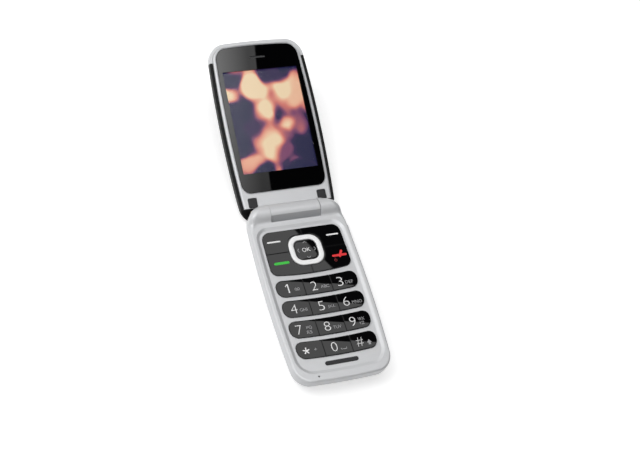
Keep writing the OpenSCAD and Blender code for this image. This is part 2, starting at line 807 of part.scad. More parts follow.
keypad_housing();
rear_housing();
battery_cover();
battery();
battery_contacts();
main_board();
dome_sheet();
key_mat();
loudspeaker();
vibration_motor();
microphone();
usb_socket();
sim_socket();
antenna();
housing_screws();
bumper_strip();
volume_key();
number_key(0, 0);  // key_1
number_key(0, 1);  // key_2
number_key(0, 2);  // key_3
number_key(1, 0);  // key_4
number_key(1, 1);  // key_5
number_key(1, 2);  // key_6
number_key(2, 0);  // key_7
number_key(2, 1);  // key_8
number_key(2, 2);  // key_9
number_key(3, 0);  // key_star
number_key(3, 1);  // key_0
number_key(3, 2);  // key_hash
quarter_key(-1, 1);  // soft_key_left
quarter_key(1, 1);  // soft_key_right
quarter_key(-1, -1);  // call_key
quarter_key(1, -1);  // end_key
nav_ring();
nav_plate();
ok_key();
hinge_capsule();
hinge_follower();
hinge_spring();
hinge_bush();
hinge_shaft();
hinge_cam();
flex_cable();
lid_frame();
lid_cover();
lid_end_cap();
lens();
lcd_module();
lid_board();
earpiece();
earpiece_mesh();
lid_dampers();
lid_screws();
lid_magnet();
camera_module();
camera_window();
flash_led();
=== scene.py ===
"""Looks of a clamshell mobile phone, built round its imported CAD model."""

import math

import bmesh
import bpy
from bpy.props import FloatProperty, FloatVectorProperty, PointerProperty
from mathutils import Matrix, Vector


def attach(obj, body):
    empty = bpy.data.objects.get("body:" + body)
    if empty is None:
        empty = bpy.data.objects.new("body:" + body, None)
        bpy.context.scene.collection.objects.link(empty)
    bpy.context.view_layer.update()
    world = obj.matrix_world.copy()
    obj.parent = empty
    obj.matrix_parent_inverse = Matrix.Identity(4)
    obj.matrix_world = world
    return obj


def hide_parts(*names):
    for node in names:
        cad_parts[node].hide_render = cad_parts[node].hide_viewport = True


bl_info = {
    "name": "Clamshell phone",
    "version": (1, 0, 0),
    "blender": (4, 5, 0),
    "location": "View3D > Sidebar > Phone",
    "description": "Shells, keys, lens, legends, finishes and studio of a clamshell phone",
    "category": "Object",
}

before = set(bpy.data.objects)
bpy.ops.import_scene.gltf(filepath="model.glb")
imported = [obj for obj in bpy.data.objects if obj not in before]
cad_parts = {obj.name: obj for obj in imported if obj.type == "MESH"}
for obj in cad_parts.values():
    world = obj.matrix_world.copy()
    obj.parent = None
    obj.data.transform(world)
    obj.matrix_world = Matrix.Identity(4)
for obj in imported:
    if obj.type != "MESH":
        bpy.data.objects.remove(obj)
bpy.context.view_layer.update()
MM = 0.001

# Places and sizes of the CAD model, in millimetres: hinge
HINGE_Y = 46.3
HINGE_Z = 7.9
OPEN_ANGLE = 165.3
TOWER_R = 5.7
TOWER_Y = 41.4
BARREL_R = 5.5
BARREL_HALF = 14.2
NOTCH_HALF = 14.35

# Lower half
BODY_HALF = 28.5
FREE_Y = -51
HINGE_END_Y = 52
FREE_CORNER_R = 9
HINGE_CORNER_R = 12
FREE_ARCH = 1
WIDEST_Y = -2.9
SPLIT_Z = 5.2
COVER_Z = 3.4
COVER_END_Y = 16.2
UNDER_END_Y = 39
STRIP_Y = -42.5
MICROPHONE = (-14.8, -48.9)
VOLUME_Y = 26
VOLUME_Z = 7.2
SPEAKER_Y = 26
HINGE_SCREWS = (17.5, 38.3)
FREE_SCREWS = (21, -45.3)

# Keys
NUMBER_KEYS = ["1", "2", "3", "4", "5", "6", "7", "8", "9", "star", "0", "hash"]
FIELD_HALF = 22.9
ROW_TOP = 6.84
ROW_PITCH = 11.75
ROW_HEIGHT = 9.72
ROW_BOW = 0.9
KEY_GAP = 0.15
KEY_BASE = 8.65
KEY_TOP = 10.3
RING_Y = 22.1
OK_TOP = 10.25

# Lid, as it lies when shut
LENS_Z = 10.73
LID_BACK_Z = 17.53
LID_EDGE_Z = 11.53
CAP_Y = -41.4
EARPIECE_Y = -42.6
PICTURE = (43.2, 57.6)
PICTURE_Y = -6.7
DAMPER = (19.85, 38.1)
CAMERA = (0, -31)
FLASH = (9, -31)

# Limits past the phone, for the blocks that cut it
SIDE = 40
FRONT = -60
BACK = 60
BELOW = -5
ABOVE = 20
LID_TOOL_TOP = 30

# Ink: how far it lies over a key, how thick it is, and the narrower strokes of the digits
INK_Z = KEY_TOP + 0.003
INK_THICKNESS = 0.02
DIGIT_OFFSET = -0.02


def linear(code):
    """Linear RGB of an sRGB hex colour."""
    parts = [int(code[i : i + 2], 16) / 255 for i in (1, 3, 5)]
    return tuple(c / 12.92 if c <= 0.04045 else ((c + 0.055) / 1.055) ** 2.4 for c in parts)


# --- What a user would change ---


class PhoneSizes(bpy.types.PropertyGroup):
    """Sizes of the phone's shells and keys"""

    body_width: FloatProperty(
        name="Body width", description="Width at the widest place", default=0.057, unit="LENGTH"
    )
    side_radius: FloatProperty(
        name="Side radius", description="Radius of the long curve of each side", default=0.658,
        unit="LENGTH",
    )
    rim_height: FloatProperty(
        name="Rim height", description="Top of the rim round the keys", default=0.0102,
        unit="LENGTH",
    )
    under_radius: FloatProperty(
        name="Underside radius", description="Round edge along the underside", default=0.006,
        unit="LENGTH",
    )
    key_edge: FloatProperty(
        name="Key edge", description="Rounding of the edge of each key", default=0.0002,
        unit="LENGTH",
    )
    key_crown: FloatProperty(
        name="Key crown radius", description="Radius of the slight crown of a key row",
        default=0.33, unit="LENGTH",
    )
    digit_height: FloatProperty(
        name="Digit height", description="Height of the printed digits", default=0.0051,
        unit="LENGTH",
    )


class PhoneColours(bpy.types.PropertyGroup):
    """Colours of the phone's finishes"""

    silver: FloatVectorProperty(
        name="Silver shell", description="Lacquer of the shells", subtype="COLOR",
        default=linear("#cecfd1"),
    )
    black: FloatVectorProperty(
        name="Black gloss", description="Keys, lens and lid cover", subtype="COLOR",
        default=linear("#040405"),
    )
    ring: FloatVectorProperty(
        name="Ring", description="Navigation ring", subtype="COLOR", default=linear("#fafafa")
    )
    rubber: FloatVectorProperty(
        name="Rubber", description="Dampers and the strip under the keys", subtype="COLOR",
        default=linear("#242426"),
    )
    call: FloatVectorProperty(
        name="Call mark", description="Bar on the call key", subtype="COLOR",
        default=linear("#35c43c"),
    )
    end: FloatVectorProperty(
        name="End mark", description="Bar on the end key", subtype="COLOR",
        default=linear("#e8262a"),
    )


def size(name):
    """One of the sizes, in millimetres."""
    return getattr(bpy.context.scene.phone_sizes, name) / MM


def colour(name):
    """One of the colours, with full alpha."""
    return (*getattr(bpy.context.scene.phone_colours, name), 1.0)


# --- Outlines: the same curves as the CAD source, in millimetres ---


def mix(a, b, t):
    return a + (b - a) * t


def ease(a, b, t):
    """Goes smoothly from 0 to 1 as t goes from a to b."""
    t = min(max((t - a) / (b - a), 0), 1)
    return t * t * (3 - 2 * t)


def half_width(y):
    """Half width of the body: each side is one long arc."""
    radius = size("side_radius")
    return size("body_width") / 2 - radius + math.sqrt(radius**2 - (y - WIDEST_Y) ** 2)


def arc(cx, cy, r, a, b, n):
    turns = [math.radians(mix(a, b, i / n)) for i in range(n + 1)]
    return [(cx + r * math.cos(turn), cy + r * math.sin(turn)) for turn in turns]


def panel(w, y0, y1, r0, r1, bow0=0.0, bow1=0.0, d=0.0, corner=12, side=20, end=20):
    """Outline, counter-clockwise: a rounded rectangle bent to the body's sides and bowed ends."""
    w, y0, y1 = w - d, y0 + d, y1 - d
    r0, r1 = max(r0 - d, 0.15), max(r1 - d, 0.15)
    points = arc(w - r0, y0 + r0, r0, -90, 0, corner)
    points += [(w, mix(y0 + r0, y1 - r1, i / side)) for i in range(1, side)]
    points += arc(w - r1, y1 - r1, r1, 0, 90, corner)
    points += [(mix(w - r1, r1 - w, i / end), y1) for i in range(1, end)]
    points += arc(r1 - w, y1 - r1, r1, 90, 180, corner)
    points += [(-w, mix(y1 - r1, y0 + r0, i / side)) for i in range(1, side)]
    points += arc(r0 - w, y0 + r0, r0, 180, 270, corner)
    points += [(mix(r0 - w, w - r0, i / end), y0) for i in range(1, end)]
    widest = size("body_width") / 2
    return [
        (x * half_width(y) / widest, y - mix(bow0, bow1, (y - y0) / (y1 - y0)) * (1 - (x / w) ** 2))
        for x, y in points
    ]


def base_outline():
    return panel(BODY_HALF, FREE_Y, HINGE_END_Y, FREE_CORNER_R, HINGE_CORNER_R, FREE_ARCH)


def recess_outline(d):
    return panel(w=24.3, y0=-44.9, y1=36.2, r0=7, r1=5, bow0=1.1, d=d)


def lid_outline():
    return panel(w=BODY_HALF, y0=-51.2, y1=49.6, r0=9, r1=9, bow0=FREE_ARCH)


def lens_outline(d):
    return panel(w=24.74, y0=-48.4, y1=32.8, r0=6, r1=5, bow0=1.05, d=d)


def row_outline(row, d):
    top = ROW_TOP - row * ROW_PITCH
    return panel(FIELD_HALF, top - ROW_HEIGHT, top, 4.18, 4.18, ROW_BOW, ROW_BOW, d, side=6)


def row_middle(row):
    return ROW_TOP - row * ROW_PITCH - ROW_HEIGHT / 2


def navigation_outline(d):
    return panel(w=FIELD_HALF, y0=9.98, y1=35, r0=3.5, r1=4.5, bow0=1.64, d=d)


def soft_square(width, height, r, cx=0.0, cy=0.0, corner=10):
    points = []
    for sx, sy, a in ((1, -1, -90), (1, 1, 0), (-1, 1, 90), (-1, -1, 180)):
        points += arc(cx + sx * (width / 2 - r), cy + sy * (height / 2 - r), r, a, a + 90, corner)
    return points


def pill(length, height, cx=0.0, cy=0.0, turn=0.0):
    points = arc(length / 2 - height / 2, 0, height / 2, -90, 90, 10)
    points += arc(height / 2 - length / 2, 0, height / 2, 90, 270, 10)
    c, s = math.cos(math.radians(turn)), math.sin(math.radians(turn))
    return [(cx + x * c - y * s, cy + x * s + y * c) for x, y in points]


def inset(points, amounts):
    """Moves each point of an outline inwards, by one amount or one for each point."""
    n = len(points)
    amounts = amounts if isinstance(amounts, list) else [amounts] * n
    moved = []
    for i, (x, y) in enumerate(points):
        ax, ay = points[i - 1]
        bx, by = points[(i + 1) % n]
        length = math.hypot(bx - ax, by - ay)
        moved.append((x - (by - ay) / length * amounts[i], y + (bx - ax) / length * amounts[i]))
    return moved


def clip(points, axis, value, keep):
    """The part of an outline where the coordinate is above (keep 1) or below (keep -1) the value."""
    kept = []
    for i, b in enumerate(points):
        a = points[i - 1]
        in_a, in_b = keep * (a[axis] - value) > 0, keep * (b[axis] - value) > 0
        if in_a != in_b:
            t = (value - a[axis]) / (b[axis] - a[axis])
            kept.append((mix(a[0], b[0], t), mix(a[1], b[1], t)))
        if in_b:
            kept.append(b)
    return kept


def between(a, b, t):
    """The outline a part t of the way from one outline to another."""
    return [(mix(p[0], q[0], t), mix(p[1], q[1], t)) for p, q in zip(a, b)]


def quarter(k, steps):
    """Sine and cosine at step k of a quarter turn."""
    a = math.pi / 2 * k / steps
    return math.sin(a), math.cos(a)


def lifted(points, z):
    """Gives an outline a height: a number, or a function of the place along the phone."""
    return [(x, y, z(y) if callable(z) else z) for x, y in points]


# --- Mesh tools, in millimetres ---


def loop(mesh, points):
    verts = [mesh.verts.new(p) for p in points]
    return [mesh.edges.new((verts[i - 1], v)) for i, v in enumerate(verts)]


def loft(rings):
    """A closed skin through rings of points: one ring drawn on to the next, filled at both ends."""
    mesh = bmesh.new()
    order = mesh.verts.layers.int.new("order")
    edges = loop(mesh, rings[0])
    for i, v in enumerate(mesh.verts):
        v[order] = i
    first = edges
    for ring in rings[1:]:
        made = bmesh.ops.extrude_edge_only(mesh, edges=edges)["geom"]
        fresh = {g for g in made if isinstance(g, bmesh.types.BMVert)}
        edges = [g for g in made if isinstance(g, bmesh.types.BMEdge) and set(g.verts) <= fresh]
        for v in fresh:
            v.co = ring[v[order]]
    for end in (first, edges):
        bmesh.ops.edgeloop_fill(mesh, edges=end)
    bmesh.ops.remove_doubles(mesh, verts=mesh.verts, dist=0.0008)
    bmesh.ops.recalc_face_normals(mesh, faces=mesh.faces)
    return mesh


def prism(outline, z0, z1):
    """An outline drawn up from z0 to z1."""
    mesh = bmesh.new()
    bmesh.ops.edgeloop_fill(mesh, edges=loop(mesh, lifted(outline, z0)))
    made = bmesh.ops.extrude_face_region(mesh, geom=list(mesh.faces))["geom"]
    top = [g for g in made if isinstance(g, bmesh.types.BMVert)]
    bmesh.ops.translate(mesh, verts=top, vec=(0, 0, z1 - z0))
    bmesh.ops.holes_fill(mesh, edges=mesh.edges)
    bmesh.ops.recalc_face_normals(mesh, faces=mesh.faces)
    return mesh


def side_view(profile, x0, x1):
    """A side view, as points along Y and Z, drawn out along X."""
    mesh = prism(profile, x0, x1)
    turn = Matrix(((0, 0, 1, 0), (1, 0, 0, 0), (0, 1, 0, 0), (0, 0, 0, 1)))
    bmesh.ops.transform(mesh, matrix=turn, verts=mesh.verts)
    return mesh


def block(x0, x1, y0, y1, z0, z1):
    mesh = bmesh.new()
    place = Matrix.Translation(((x0 + x1) / 2, (y0 + y1) / 2, (z0 + z1) / 2))
    bmesh.ops.create_cube(mesh, size=1, matrix=place @ Matrix.Diagonal((x1 - x0, y1 - y0, z1 - z0, 1)))
    return mesh


def rod(r, x0, x1, y=HINGE_Y, z=HINGE_Z, segments=96):
    """A round bar along X."""
    mesh = bmesh.new()
    place = Matrix.Translation(((x0 + x1) / 2, y, z)) @ Matrix.Rotation(math.pi / 2, 4, "Y")
    bmesh.ops.create_cone(
        mesh, cap_ends=True, segments=segments, radius1=r, radius2=r, depth=x1 - x0, matrix=place
    )
    return mesh


def post(r, z0, z1, x=0.0, y=0.0, segments=48):
    """A round bar along Z."""
    mesh = bmesh.new()
    place = Matrix.Translation((x, y, (z0 + z1) / 2))
    bmesh.ops.create_cone(
        mesh, cap_ends=True, segments=segments, radius1=r, radius2=r, depth=z1 - z0, matrix=place
    )
    return mesh


def across(y0, y1, z0, z1):
    """A block right across the phone."""
    return block(-SIDE, SIDE, y0, y1, z0, z1)


def held(mesh):
    """Puts a bmesh into an object for a Boolean, and frees it."""
    data = bpy.data.meshes.new("work")
    mesh.to_mesh(data)
    mesh.free()
    thing = bpy.data.objects.new("work", data)
    bpy.context.scene.collection.objects.link(thing)
    return thing


def cut(mesh):
    return ("DIFFERENCE", mesh)


def join(mesh):
    return ("UNION", mesh)


def carve(mesh, *steps):
    """Takes the steps in turn, each a cut or a join, and gives the shape that is left."""
    body = held(mesh)
    tools = []
    for operation, tool in steps:
        tools.append(held(tool))
        change = body.modifiers.new(operation, "BOOLEAN")
        change.operation, change.object, change.solver = operation, tools[-1], "MANIFOLD"
    bpy.context.view_layer.update()
    shaped = bpy.data.meshes.new_from_object(body.evaluated_get(bpy.context.evaluated_depsgraph_get()))
    result = bmesh.new()
    result.from_mesh(shaped)
    for thing in [body, *tools]:
        data = thing.data
        bpy.data.objects.remove(thing)
        bpy.data.meshes.remove(data)
    bpy.data.meshes.remove(shaped)
    if not result.faces:
        raise RuntimeError("A Boolean left nothing of a piece")
    bmesh.ops.remove_doubles(result, verts=result.verts, dist=0.002)
    bmesh.ops.dissolve_degenerate(result, edges=result.edges, dist=0.002)
    return result


def opened(mesh):
    """Turns a lid piece from shut to open."""
    about = Matrix.Translation((0, HINGE_Y, HINGE_Z))
    turn = Matrix.Rotation(math.radians(-OPEN_ANGLE), 4, "X")
    bmesh.ops.transform(mesh, matrix=about @ turn @ about.inverted(), verts=mesh.verts)
    return mesh


def piece(name, mesh, body, materials, stands_for=(), sharp=32.0):
    """A finished bmesh, in millimetres, as a piece of the phone in its place."""
    bmesh.ops.scale(mesh, vec=(MM, MM, MM), verts=mesh.verts)
    data = bpy.data.meshes.new(name)
    mesh.to_mesh(data)
    mesh.free()
    data.shade_smooth()
    data.set_sharp_from_angle(angle=math.radians(sharp))
    for material in materials if isinstance(materials, list) else [materials]:
        data.materials.append(material)
    made = bpy.data.objects.new(name, data)
    bpy.context.scene.collection.objects.link(made)
    even = made.modifiers.new("Even shading", "WEIGHTED_NORMAL")
    even.keep_sharp = True
    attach(made, body)
    if stands_for:
        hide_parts(*stands_for)
    return made


# --- Materials ---


def add_node(material, kind, sockets=(), **settings):
    """Adds a node with its settings; a socket gets a value, or a link from another node's output."""
    tree = material.node_tree
    made = tree.nodes.new(kind)
    for name, value in settings.items():
        setattr(made, name, value)
    for socket, value in dict(sockets).items():
        if isinstance(value, bpy.types.NodeSocket):
            tree.links.new(value, made.inputs[socket])
        else:
            made.inputs[socket].default_value = value
    return made


def finish_of(name):
    """The material of that name, made once."""
    found = bpy.data.materials.get(name)
    return found or FINISHES[name](bpy.data.materials.new(name))


def plain_start(material):
    material.use_nodes = True
    material.node_tree.nodes.clear()
    return add_node(material, "ShaderNodeTexCoord").outputs["Object"]


def output(material, shader):
    add_node(material, "ShaderNodeOutputMaterial", {"Surface": shader.outputs[0]})
    return material


def moulded(material, base, roughness, spread, grain_mm, depth_mm, **constants):
    """A moulded surface: even colour with faint flow marks, and a fine grain from the mould."""
    at = plain_start(material)
    flow = add_node(
        material, "ShaderNodeTexNoise", {"Vector": at, "Scale": 1 / (14 * MM), "Detail": 3.0}
    )
    mixed = add_node(material, "ShaderNodeMixRGB", {
        0: flow.outputs["Fac"],
        1: tuple(c * 0.965 for c in base[:3]) + (1,),
        2: tuple(min(c * 1.03, 1) for c in base[:3]) + (1,),
    })
    grain = add_node(
        material, "ShaderNodeTexNoise", {"Vector": at, "Scale": 1 / (grain_mm * MM), "Detail": 2.0}
    )
    gloss = add_node(material, "ShaderNodeMapRange", {
        "Value": grain.outputs["Fac"], "From Min": 0.3, "From Max": 0.7,
        "To Min": max(roughness - spread, 0.002), "To Max": roughness + spread,
    })
    bump = add_node(material, "ShaderNodeBump", {
        "Height": grain.outputs["Fac"], "Strength": 0.6, "Distance": depth_mm * MM,
    })
    sockets = {
        "Base Color": mixed.outputs[0], "Roughness": gloss.outputs[0], "Normal": bump.outputs[0],
    }
    sockets.update(constants)
    return output(material, add_node(material, "ShaderNodeBsdfPrincipled", sockets))


def silver_lacquer(material):
    """ABS under silver lacquer with aluminium flake: pale, satin, brighter on edges that face light."""
    return moulded(material, colour("silver"), 0.34, 0.04, 0.35, 0.0012,
                   **{"IOR": 1.5, "Metallic": 0.2, "Coat Weight": 0.2, "Coat Roughness": 0.2})


def black_gloss(material):
    """Polished black acrylic and ABS: mirror-like, so what it reflects is most of what shows."""
    return moulded(material, colour("black"), 0.009, 0.004, 4.0, 0.0001, **{"IOR": 1.49})


def satin_black(material):
    """Black polyurethane lacquer on ABS: deep, with a low satin sheen that hides finger marks."""
    return moulded(material, colour("black"), 0.42, 0.06, 0.35, 0.0015,
                   **{"IOR": 1.45, "Specular IOR Level": 0.22})


def white_ring(material):
    """White ABS, polished: bright and a little glossy."""
    return moulded(material, colour("ring"), 0.2, 0.03, 0.6, 0.0008, **{"IOR": 1.52})


def soft_rubber(material):
    """Moulded TPU: dark, dull and finely pitted."""
    return moulded(material, colour("rubber"), 0.72, 0.08, 0.3, 0.012, **{"IOR": 1.5})


def grey_nylon(material):
    """Glass-filled nylon: mid grey and matte, with a coarse moulded grain."""
    return moulded(material, (*linear("#8c8c8e"), 1), 0.55, 0.08, 0.4, 0.004, **{"IOR": 1.53})


def black_nylon(material):
    """Black moulded nylon of small modules: dark and matte."""
    return moulded(material, (*linear("#202022"), 1), 0.5, 0.08, 0.4, 0.004, **{"IOR": 1.53})


def acetal_bush(material):
    """Natural acetal: ivory, waxy and smooth."""
    return moulded(material, (*linear("#e6dec6"), 1), 0.35, 0.05, 0.8, 0.002, **{"IOR": 1.48})


def silicone_mat(material):
    """Moulded silicone rubber: milky and dull, with a dusty skin."""
    return moulded(material, (*linear("#cfd0cc"), 1), 0.6, 0.08, 0.5, 0.006, **{"IOR": 1.41})


def white_ink(material):
    """Screen-printed white ink: dense, matte, slightly uneven."""
    return moulded(material, (*linear("#f4f4f4"), 1), 0.45, 0.06, 0.3, 0.002, **{"IOR": 1.5})


def grey_ink(material):
    """Screen-printed grey ink of the small letters."""
    return moulded(material, (*linear("#a4a4a6"), 1), 0.45, 0.06, 0.3, 0.002, **{"IOR": 1.5})


def green_ink(material):
    """Screen-printed green ink of the call mark."""
    return moulded(material, colour("call"), 0.4, 0.06, 0.3, 0.002, **{"IOR": 1.5})


def red_ink(material):
    """Screen-printed red ink of the end mark."""
    return moulded(material, colour("end"), 0.4, 0.06, 0.3, 0.002, **{"IOR": 1.5})


def dim_red_ink(material):
    """Dark red ink of the small power mark."""
    return moulded(material, (*linear("#8c1c20"), 1), 0.45, 0.06, 0.3, 0.002, **{"IOR": 1.5})


def sheet_metal(material, code, roughness, lines_mm):
    """Rolled metal: a fine grain drawn out along X by the rolls."""
    at = plain_start(material)
    long = add_node(material, "ShaderNodeMapping", {"Vector": at, "Scale": (0.05, 1, 1)})
    rolled = add_node(material, "ShaderNodeTexNoise", {
        "Vector": long.outputs[0], "Scale": 1 / (lines_mm * MM), "Detail": 3.0,
    })
    gloss = add_node(material, "ShaderNodeMapRange", {
        "Value": rolled.outputs["Fac"], "From Min": 0.3, "From Max": 0.7,
        "To Min": roughness - 0.06, "To Max": roughness + 0.08,
    })
    bump = add_node(material, "ShaderNodeBump", {
        "Height": rolled.outputs["Fac"], "Strength": 0.5, "Distance": 0.002 * MM,
    })
    return output(material, add_node(material, "ShaderNodeBsdfPrincipled", {
        "Base Color": (*linear(code), 1), "Metallic": 1.0, "Roughness": gloss.outputs[0],
        "Normal": bump.outputs[0],
    }))


def nickel_steel(material):
    """Nickel-plated spring steel: bright grey with fine rolling lines."""
    return sheet_metal(material, "#c8c6c2", 0.28, 0.15)


def black_oxide_steel(material):
    """Black-oxide steel of screws and the hinge capsule: dark with a low sheen."""
    return sheet_metal(material, "#4a4a4e", 0.38, 0.2)


def gold_flash(material):
    """Gold-flashed contacts: thin warm plating over nickel."""
    return sheet_metal(material, "#e2b65a", 0.25, 0.2)


def solder_mask(material):
    """Green solder mask over copper on glass-epoxy: tracks show as faint lighter lines."""
    at = plain_start(material)
    track = add_node(material, "ShaderNodeTexBrick", {
        "Vector": at, "Color1": (*linear("#0d4a2a"), 1), "Color2": (*linear("#0b4024"), 1),
        "Mortar": (*linear("#1c6a3e"), 1), "Scale": 1 / (4.5 * MM), "Mortar Size": 0.03,
    })
    bump = add_node(material, "ShaderNodeBump", {
        "Height": track.outputs["Fac"], "Strength": 0.4, "Distance": 0.03 * MM,
    })
    haze = add_node(material, "ShaderNodeTexNoise", {"Vector": at, "Scale": 1 / (1.2 * MM)})
    gloss = add_node(material, "ShaderNodeMapRange", {
        "Value": haze.outputs["Fac"], "To Min": 0.25, "To Max": 0.45,
    })
    return output(material, add_node(material, "ShaderNodeBsdfPrincipled", {
        "Base Color": track.outputs["Color"], "Roughness": gloss.outputs[0],
        "Normal": bump.outputs[0], "IOR": 1.52,
    }))


def dome_film(material):
    """Polyester film over steel domes: silvery white, slightly glossy."""
    return moulded(material, (*linear("#dcdcde"), 1), 0.3, 0.05, 1.2, 0.002, **{"IOR": 1.6})


def polyimide_ribbon(material):
    """Polyimide ribbon cable: amber film with darker copper tracks across its width."""
    at = plain_start(material)
    tracks = add_node(material, "ShaderNodeTexWave", {
        "Vector": at, "Scale": 0.5 / (1.1 * MM) / 3.14, "Distortion": 0.0,
    }, bands_direction="X")
    tint = add_node(material, "ShaderNodeMixRGB", {
        0: tracks.outputs["Fac"], 1: (*linear("#b0661c"), 1), 2: (*linear("#7a3f10"), 1),
    })
    bump = add_node(material, "ShaderNodeBump", {
        "Height": tracks.outputs["Fac"], "Strength": 0.4, "Distance": 0.02 * MM,
    })
    return output(material, add_node(material, "ShaderNodeBsdfPrincipled", {
        "Base Color": tint.outputs[0], "Roughness": 0.3, "Normal": bump.outputs[0], "IOR": 1.7,
    }))


def battery_foil(material):
    """Battery pack in a matte dark wrap with a lighter plain band."""
    at = plain_start(material)
    parts = add_node(material, "ShaderNodeSeparateXYZ", {"Vector": at})
    band = add_node(material, "ShaderNodeMath", {0: parts.outputs["Y"], 1: -0.002},
                    operation="GREATER_THAN")
    tint = add_node(material, "ShaderNodeMixRGB", {
        0: band.outputs[0], 1: (*linear("#2b2c30"), 1), 2: (*linear("#3e4046"), 1),
    })
    grain = add_node(material, "ShaderNodeTexNoise", {"Vector": at, "Scale": 1 / (0.5 * MM)})
    bump = add_node(material, "ShaderNodeBump", {
        "Height": grain.outputs["Fac"], "Strength": 0.5, "Distance": 0.006 * MM,
    })
    gloss = add_node(material, "ShaderNodeMapRange", {
        "Value": grain.outputs["Fac"], "To Min": 0.45, "To Max": 0.6,
    })
    return output(material, add_node(material, "ShaderNodeBsdfPrincipled", {
        "Base Color": tint.outputs[0], "Roughness": gloss.outputs[0], "Normal": bump.outputs[0],
        "IOR": 1.5,
    }))


def phosphor_lamp(material):
    """Clear moulded lens over a yellow phosphor."""
    return moulded(material, (*linear("#f0dc82"), 1), 0.15, 0.04, 0.5, 0.002, **{"IOR": 1.5})


def clear_acrylic(material):
    """Clear cast acrylic over the display: almost nothing but its gloss."""
    plain_start(material)
    return output(material, add_node(material, "ShaderNodeBsdfPrincipled", {
        "Base Color": (0.01, 0.01, 0.012, 1), "Roughness": 0.03, "IOR": 1.49, "Alpha": 0.08,
    }))


def lit_display(material):
    """Lit LCD behind the lens: a wallpaper of soft pools, in warm and deep blue tones."""
    plain_start(material)
    uv = add_node(material, "ShaderNodeUVMap", uv_map="picture")
    drift = add_node(material, "ShaderNodeTexNoise", {
        "Vector": uv.outputs[0], "Scale": 2.6, "Detail": 1.5,
    })
    sway = add_node(material, "ShaderNodeVectorMath", {
        0: drift.outputs["Color"], 1: (0.3, 0.3, 0.3), 2: uv.outputs[0],
    }, operation="MULTIPLY_ADD")
    pools = add_node(material, "ShaderNodeTexVoronoi", {
        "Vector": sway.outputs[0], "Scale": 4.6, "Smoothness": 0.85, "Randomness": 1.0,
    }, feature="SMOOTH_F1")
    tints = add_node(material, "ShaderNodeSeparateColor", {"Color": pools.outputs["Color"]})
    ramp = add_node(material, "ShaderNodeValToRGB", {0: tints.outputs[0]})
    stops = [
        (0.26, "#1a1a42"), (0.36, "#33204e"), (0.43, "#7c4268"), (0.51, "#d6786e"),
        (0.60, "#f0ae90"), (0.72, "#f6dcb4"),
    ]
    elements = ramp.color_ramp.elements
    while len(elements) < len(stops):
        elements.new(0.5)
    for element, (place, code) in zip(elements, stops):
        element.position, element.color = place, (*linear(code), 1)
    grain = add_node(material, "ShaderNodeTexNoise", {"Vector": uv.outputs[0], "Scale": 260.0})
    gloss = add_node(material, "ShaderNodeMapRange", {
        "Value": grain.outputs["Fac"], "To Min": 0.12, "To Max": 0.2,
    })
    return output(material, add_node(material, "ShaderNodeBsdfPrincipled", {
        "Base Color": (0.012, 0.012, 0.014, 1), "Roughness": gloss.outputs[0], "IOR": 1.49,
        "Emission Color": ramp.outputs[0], "Emission Strength": 1.0,
    }))


FINISHES = {
    "Silver lacquer on ABS": silver_lacquer,
    "Polished black acrylic": black_gloss,
    "Satin black lacquer": satin_black,
    "Polished white ABS": white_ring,
    "Moulded TPU": soft_rubber,
    "Glass-filled nylon": grey_nylon,
    "Black nylon": black_nylon,
    "Acetal": acetal_bush,
    "Silicone rubber": silicone_mat,
    "White screen ink": white_ink,
    "Grey screen ink": grey_ink,
    "Green screen ink": green_ink,
    "Red screen ink": red_ink,
    "Dark red screen ink": dim_red_ink,
    "Nickel-plated steel": nickel_steel,
    "Black-oxide steel": black_oxide_steel,
    "Gold flash": gold_flash,
    "Solder mask": solder_mask,
    "Polyester film": dome_film,
    "Polyimide ribbon": polyimide_ribbon,
    "Battery wrap": battery_foil,
    "Phosphor lens": phosphor_lamp,
    "Clear acrylic": clear_acrylic,
    "Lit display": lit_display,
}


# --- Lower half ---


def tower_round(y):
    """How far the round of the towers lies over or under the hinge axis; never quite nothing."""
    return math.sqrt(max(TOWER_R**2 - (y - HINGE_Y) ** 2, 0.003))


def rim_height(y):
    """Top of the lower half along Y: the rim, a hollow fillet, and the round of the towers."""
    rim = size("rim_height")
    fillet_r, fillet_y, touch_y = 3.0, 39.4, 41.78
    if y <= fillet_y:
        return rim
    if y < touch_y:
        return rim + fillet_r - math.sqrt(fillet_r**2 - (y - fillet_y) ** 2)
    return HINGE_Z + tower_round(y)


def underside(y):
    """Underside of the lower half along Y: flat, then round up to the towers."""
    r, touch_y = size("under_radius"), 43.97
    if y <= UNDER_END_Y:
        return 0.0
    if y < touch_y:
        return r - math.sqrt(max(r**2 - (y - UNDER_END_Y) ** 2, 0))
    return HINGE_Z - tower_round(y)


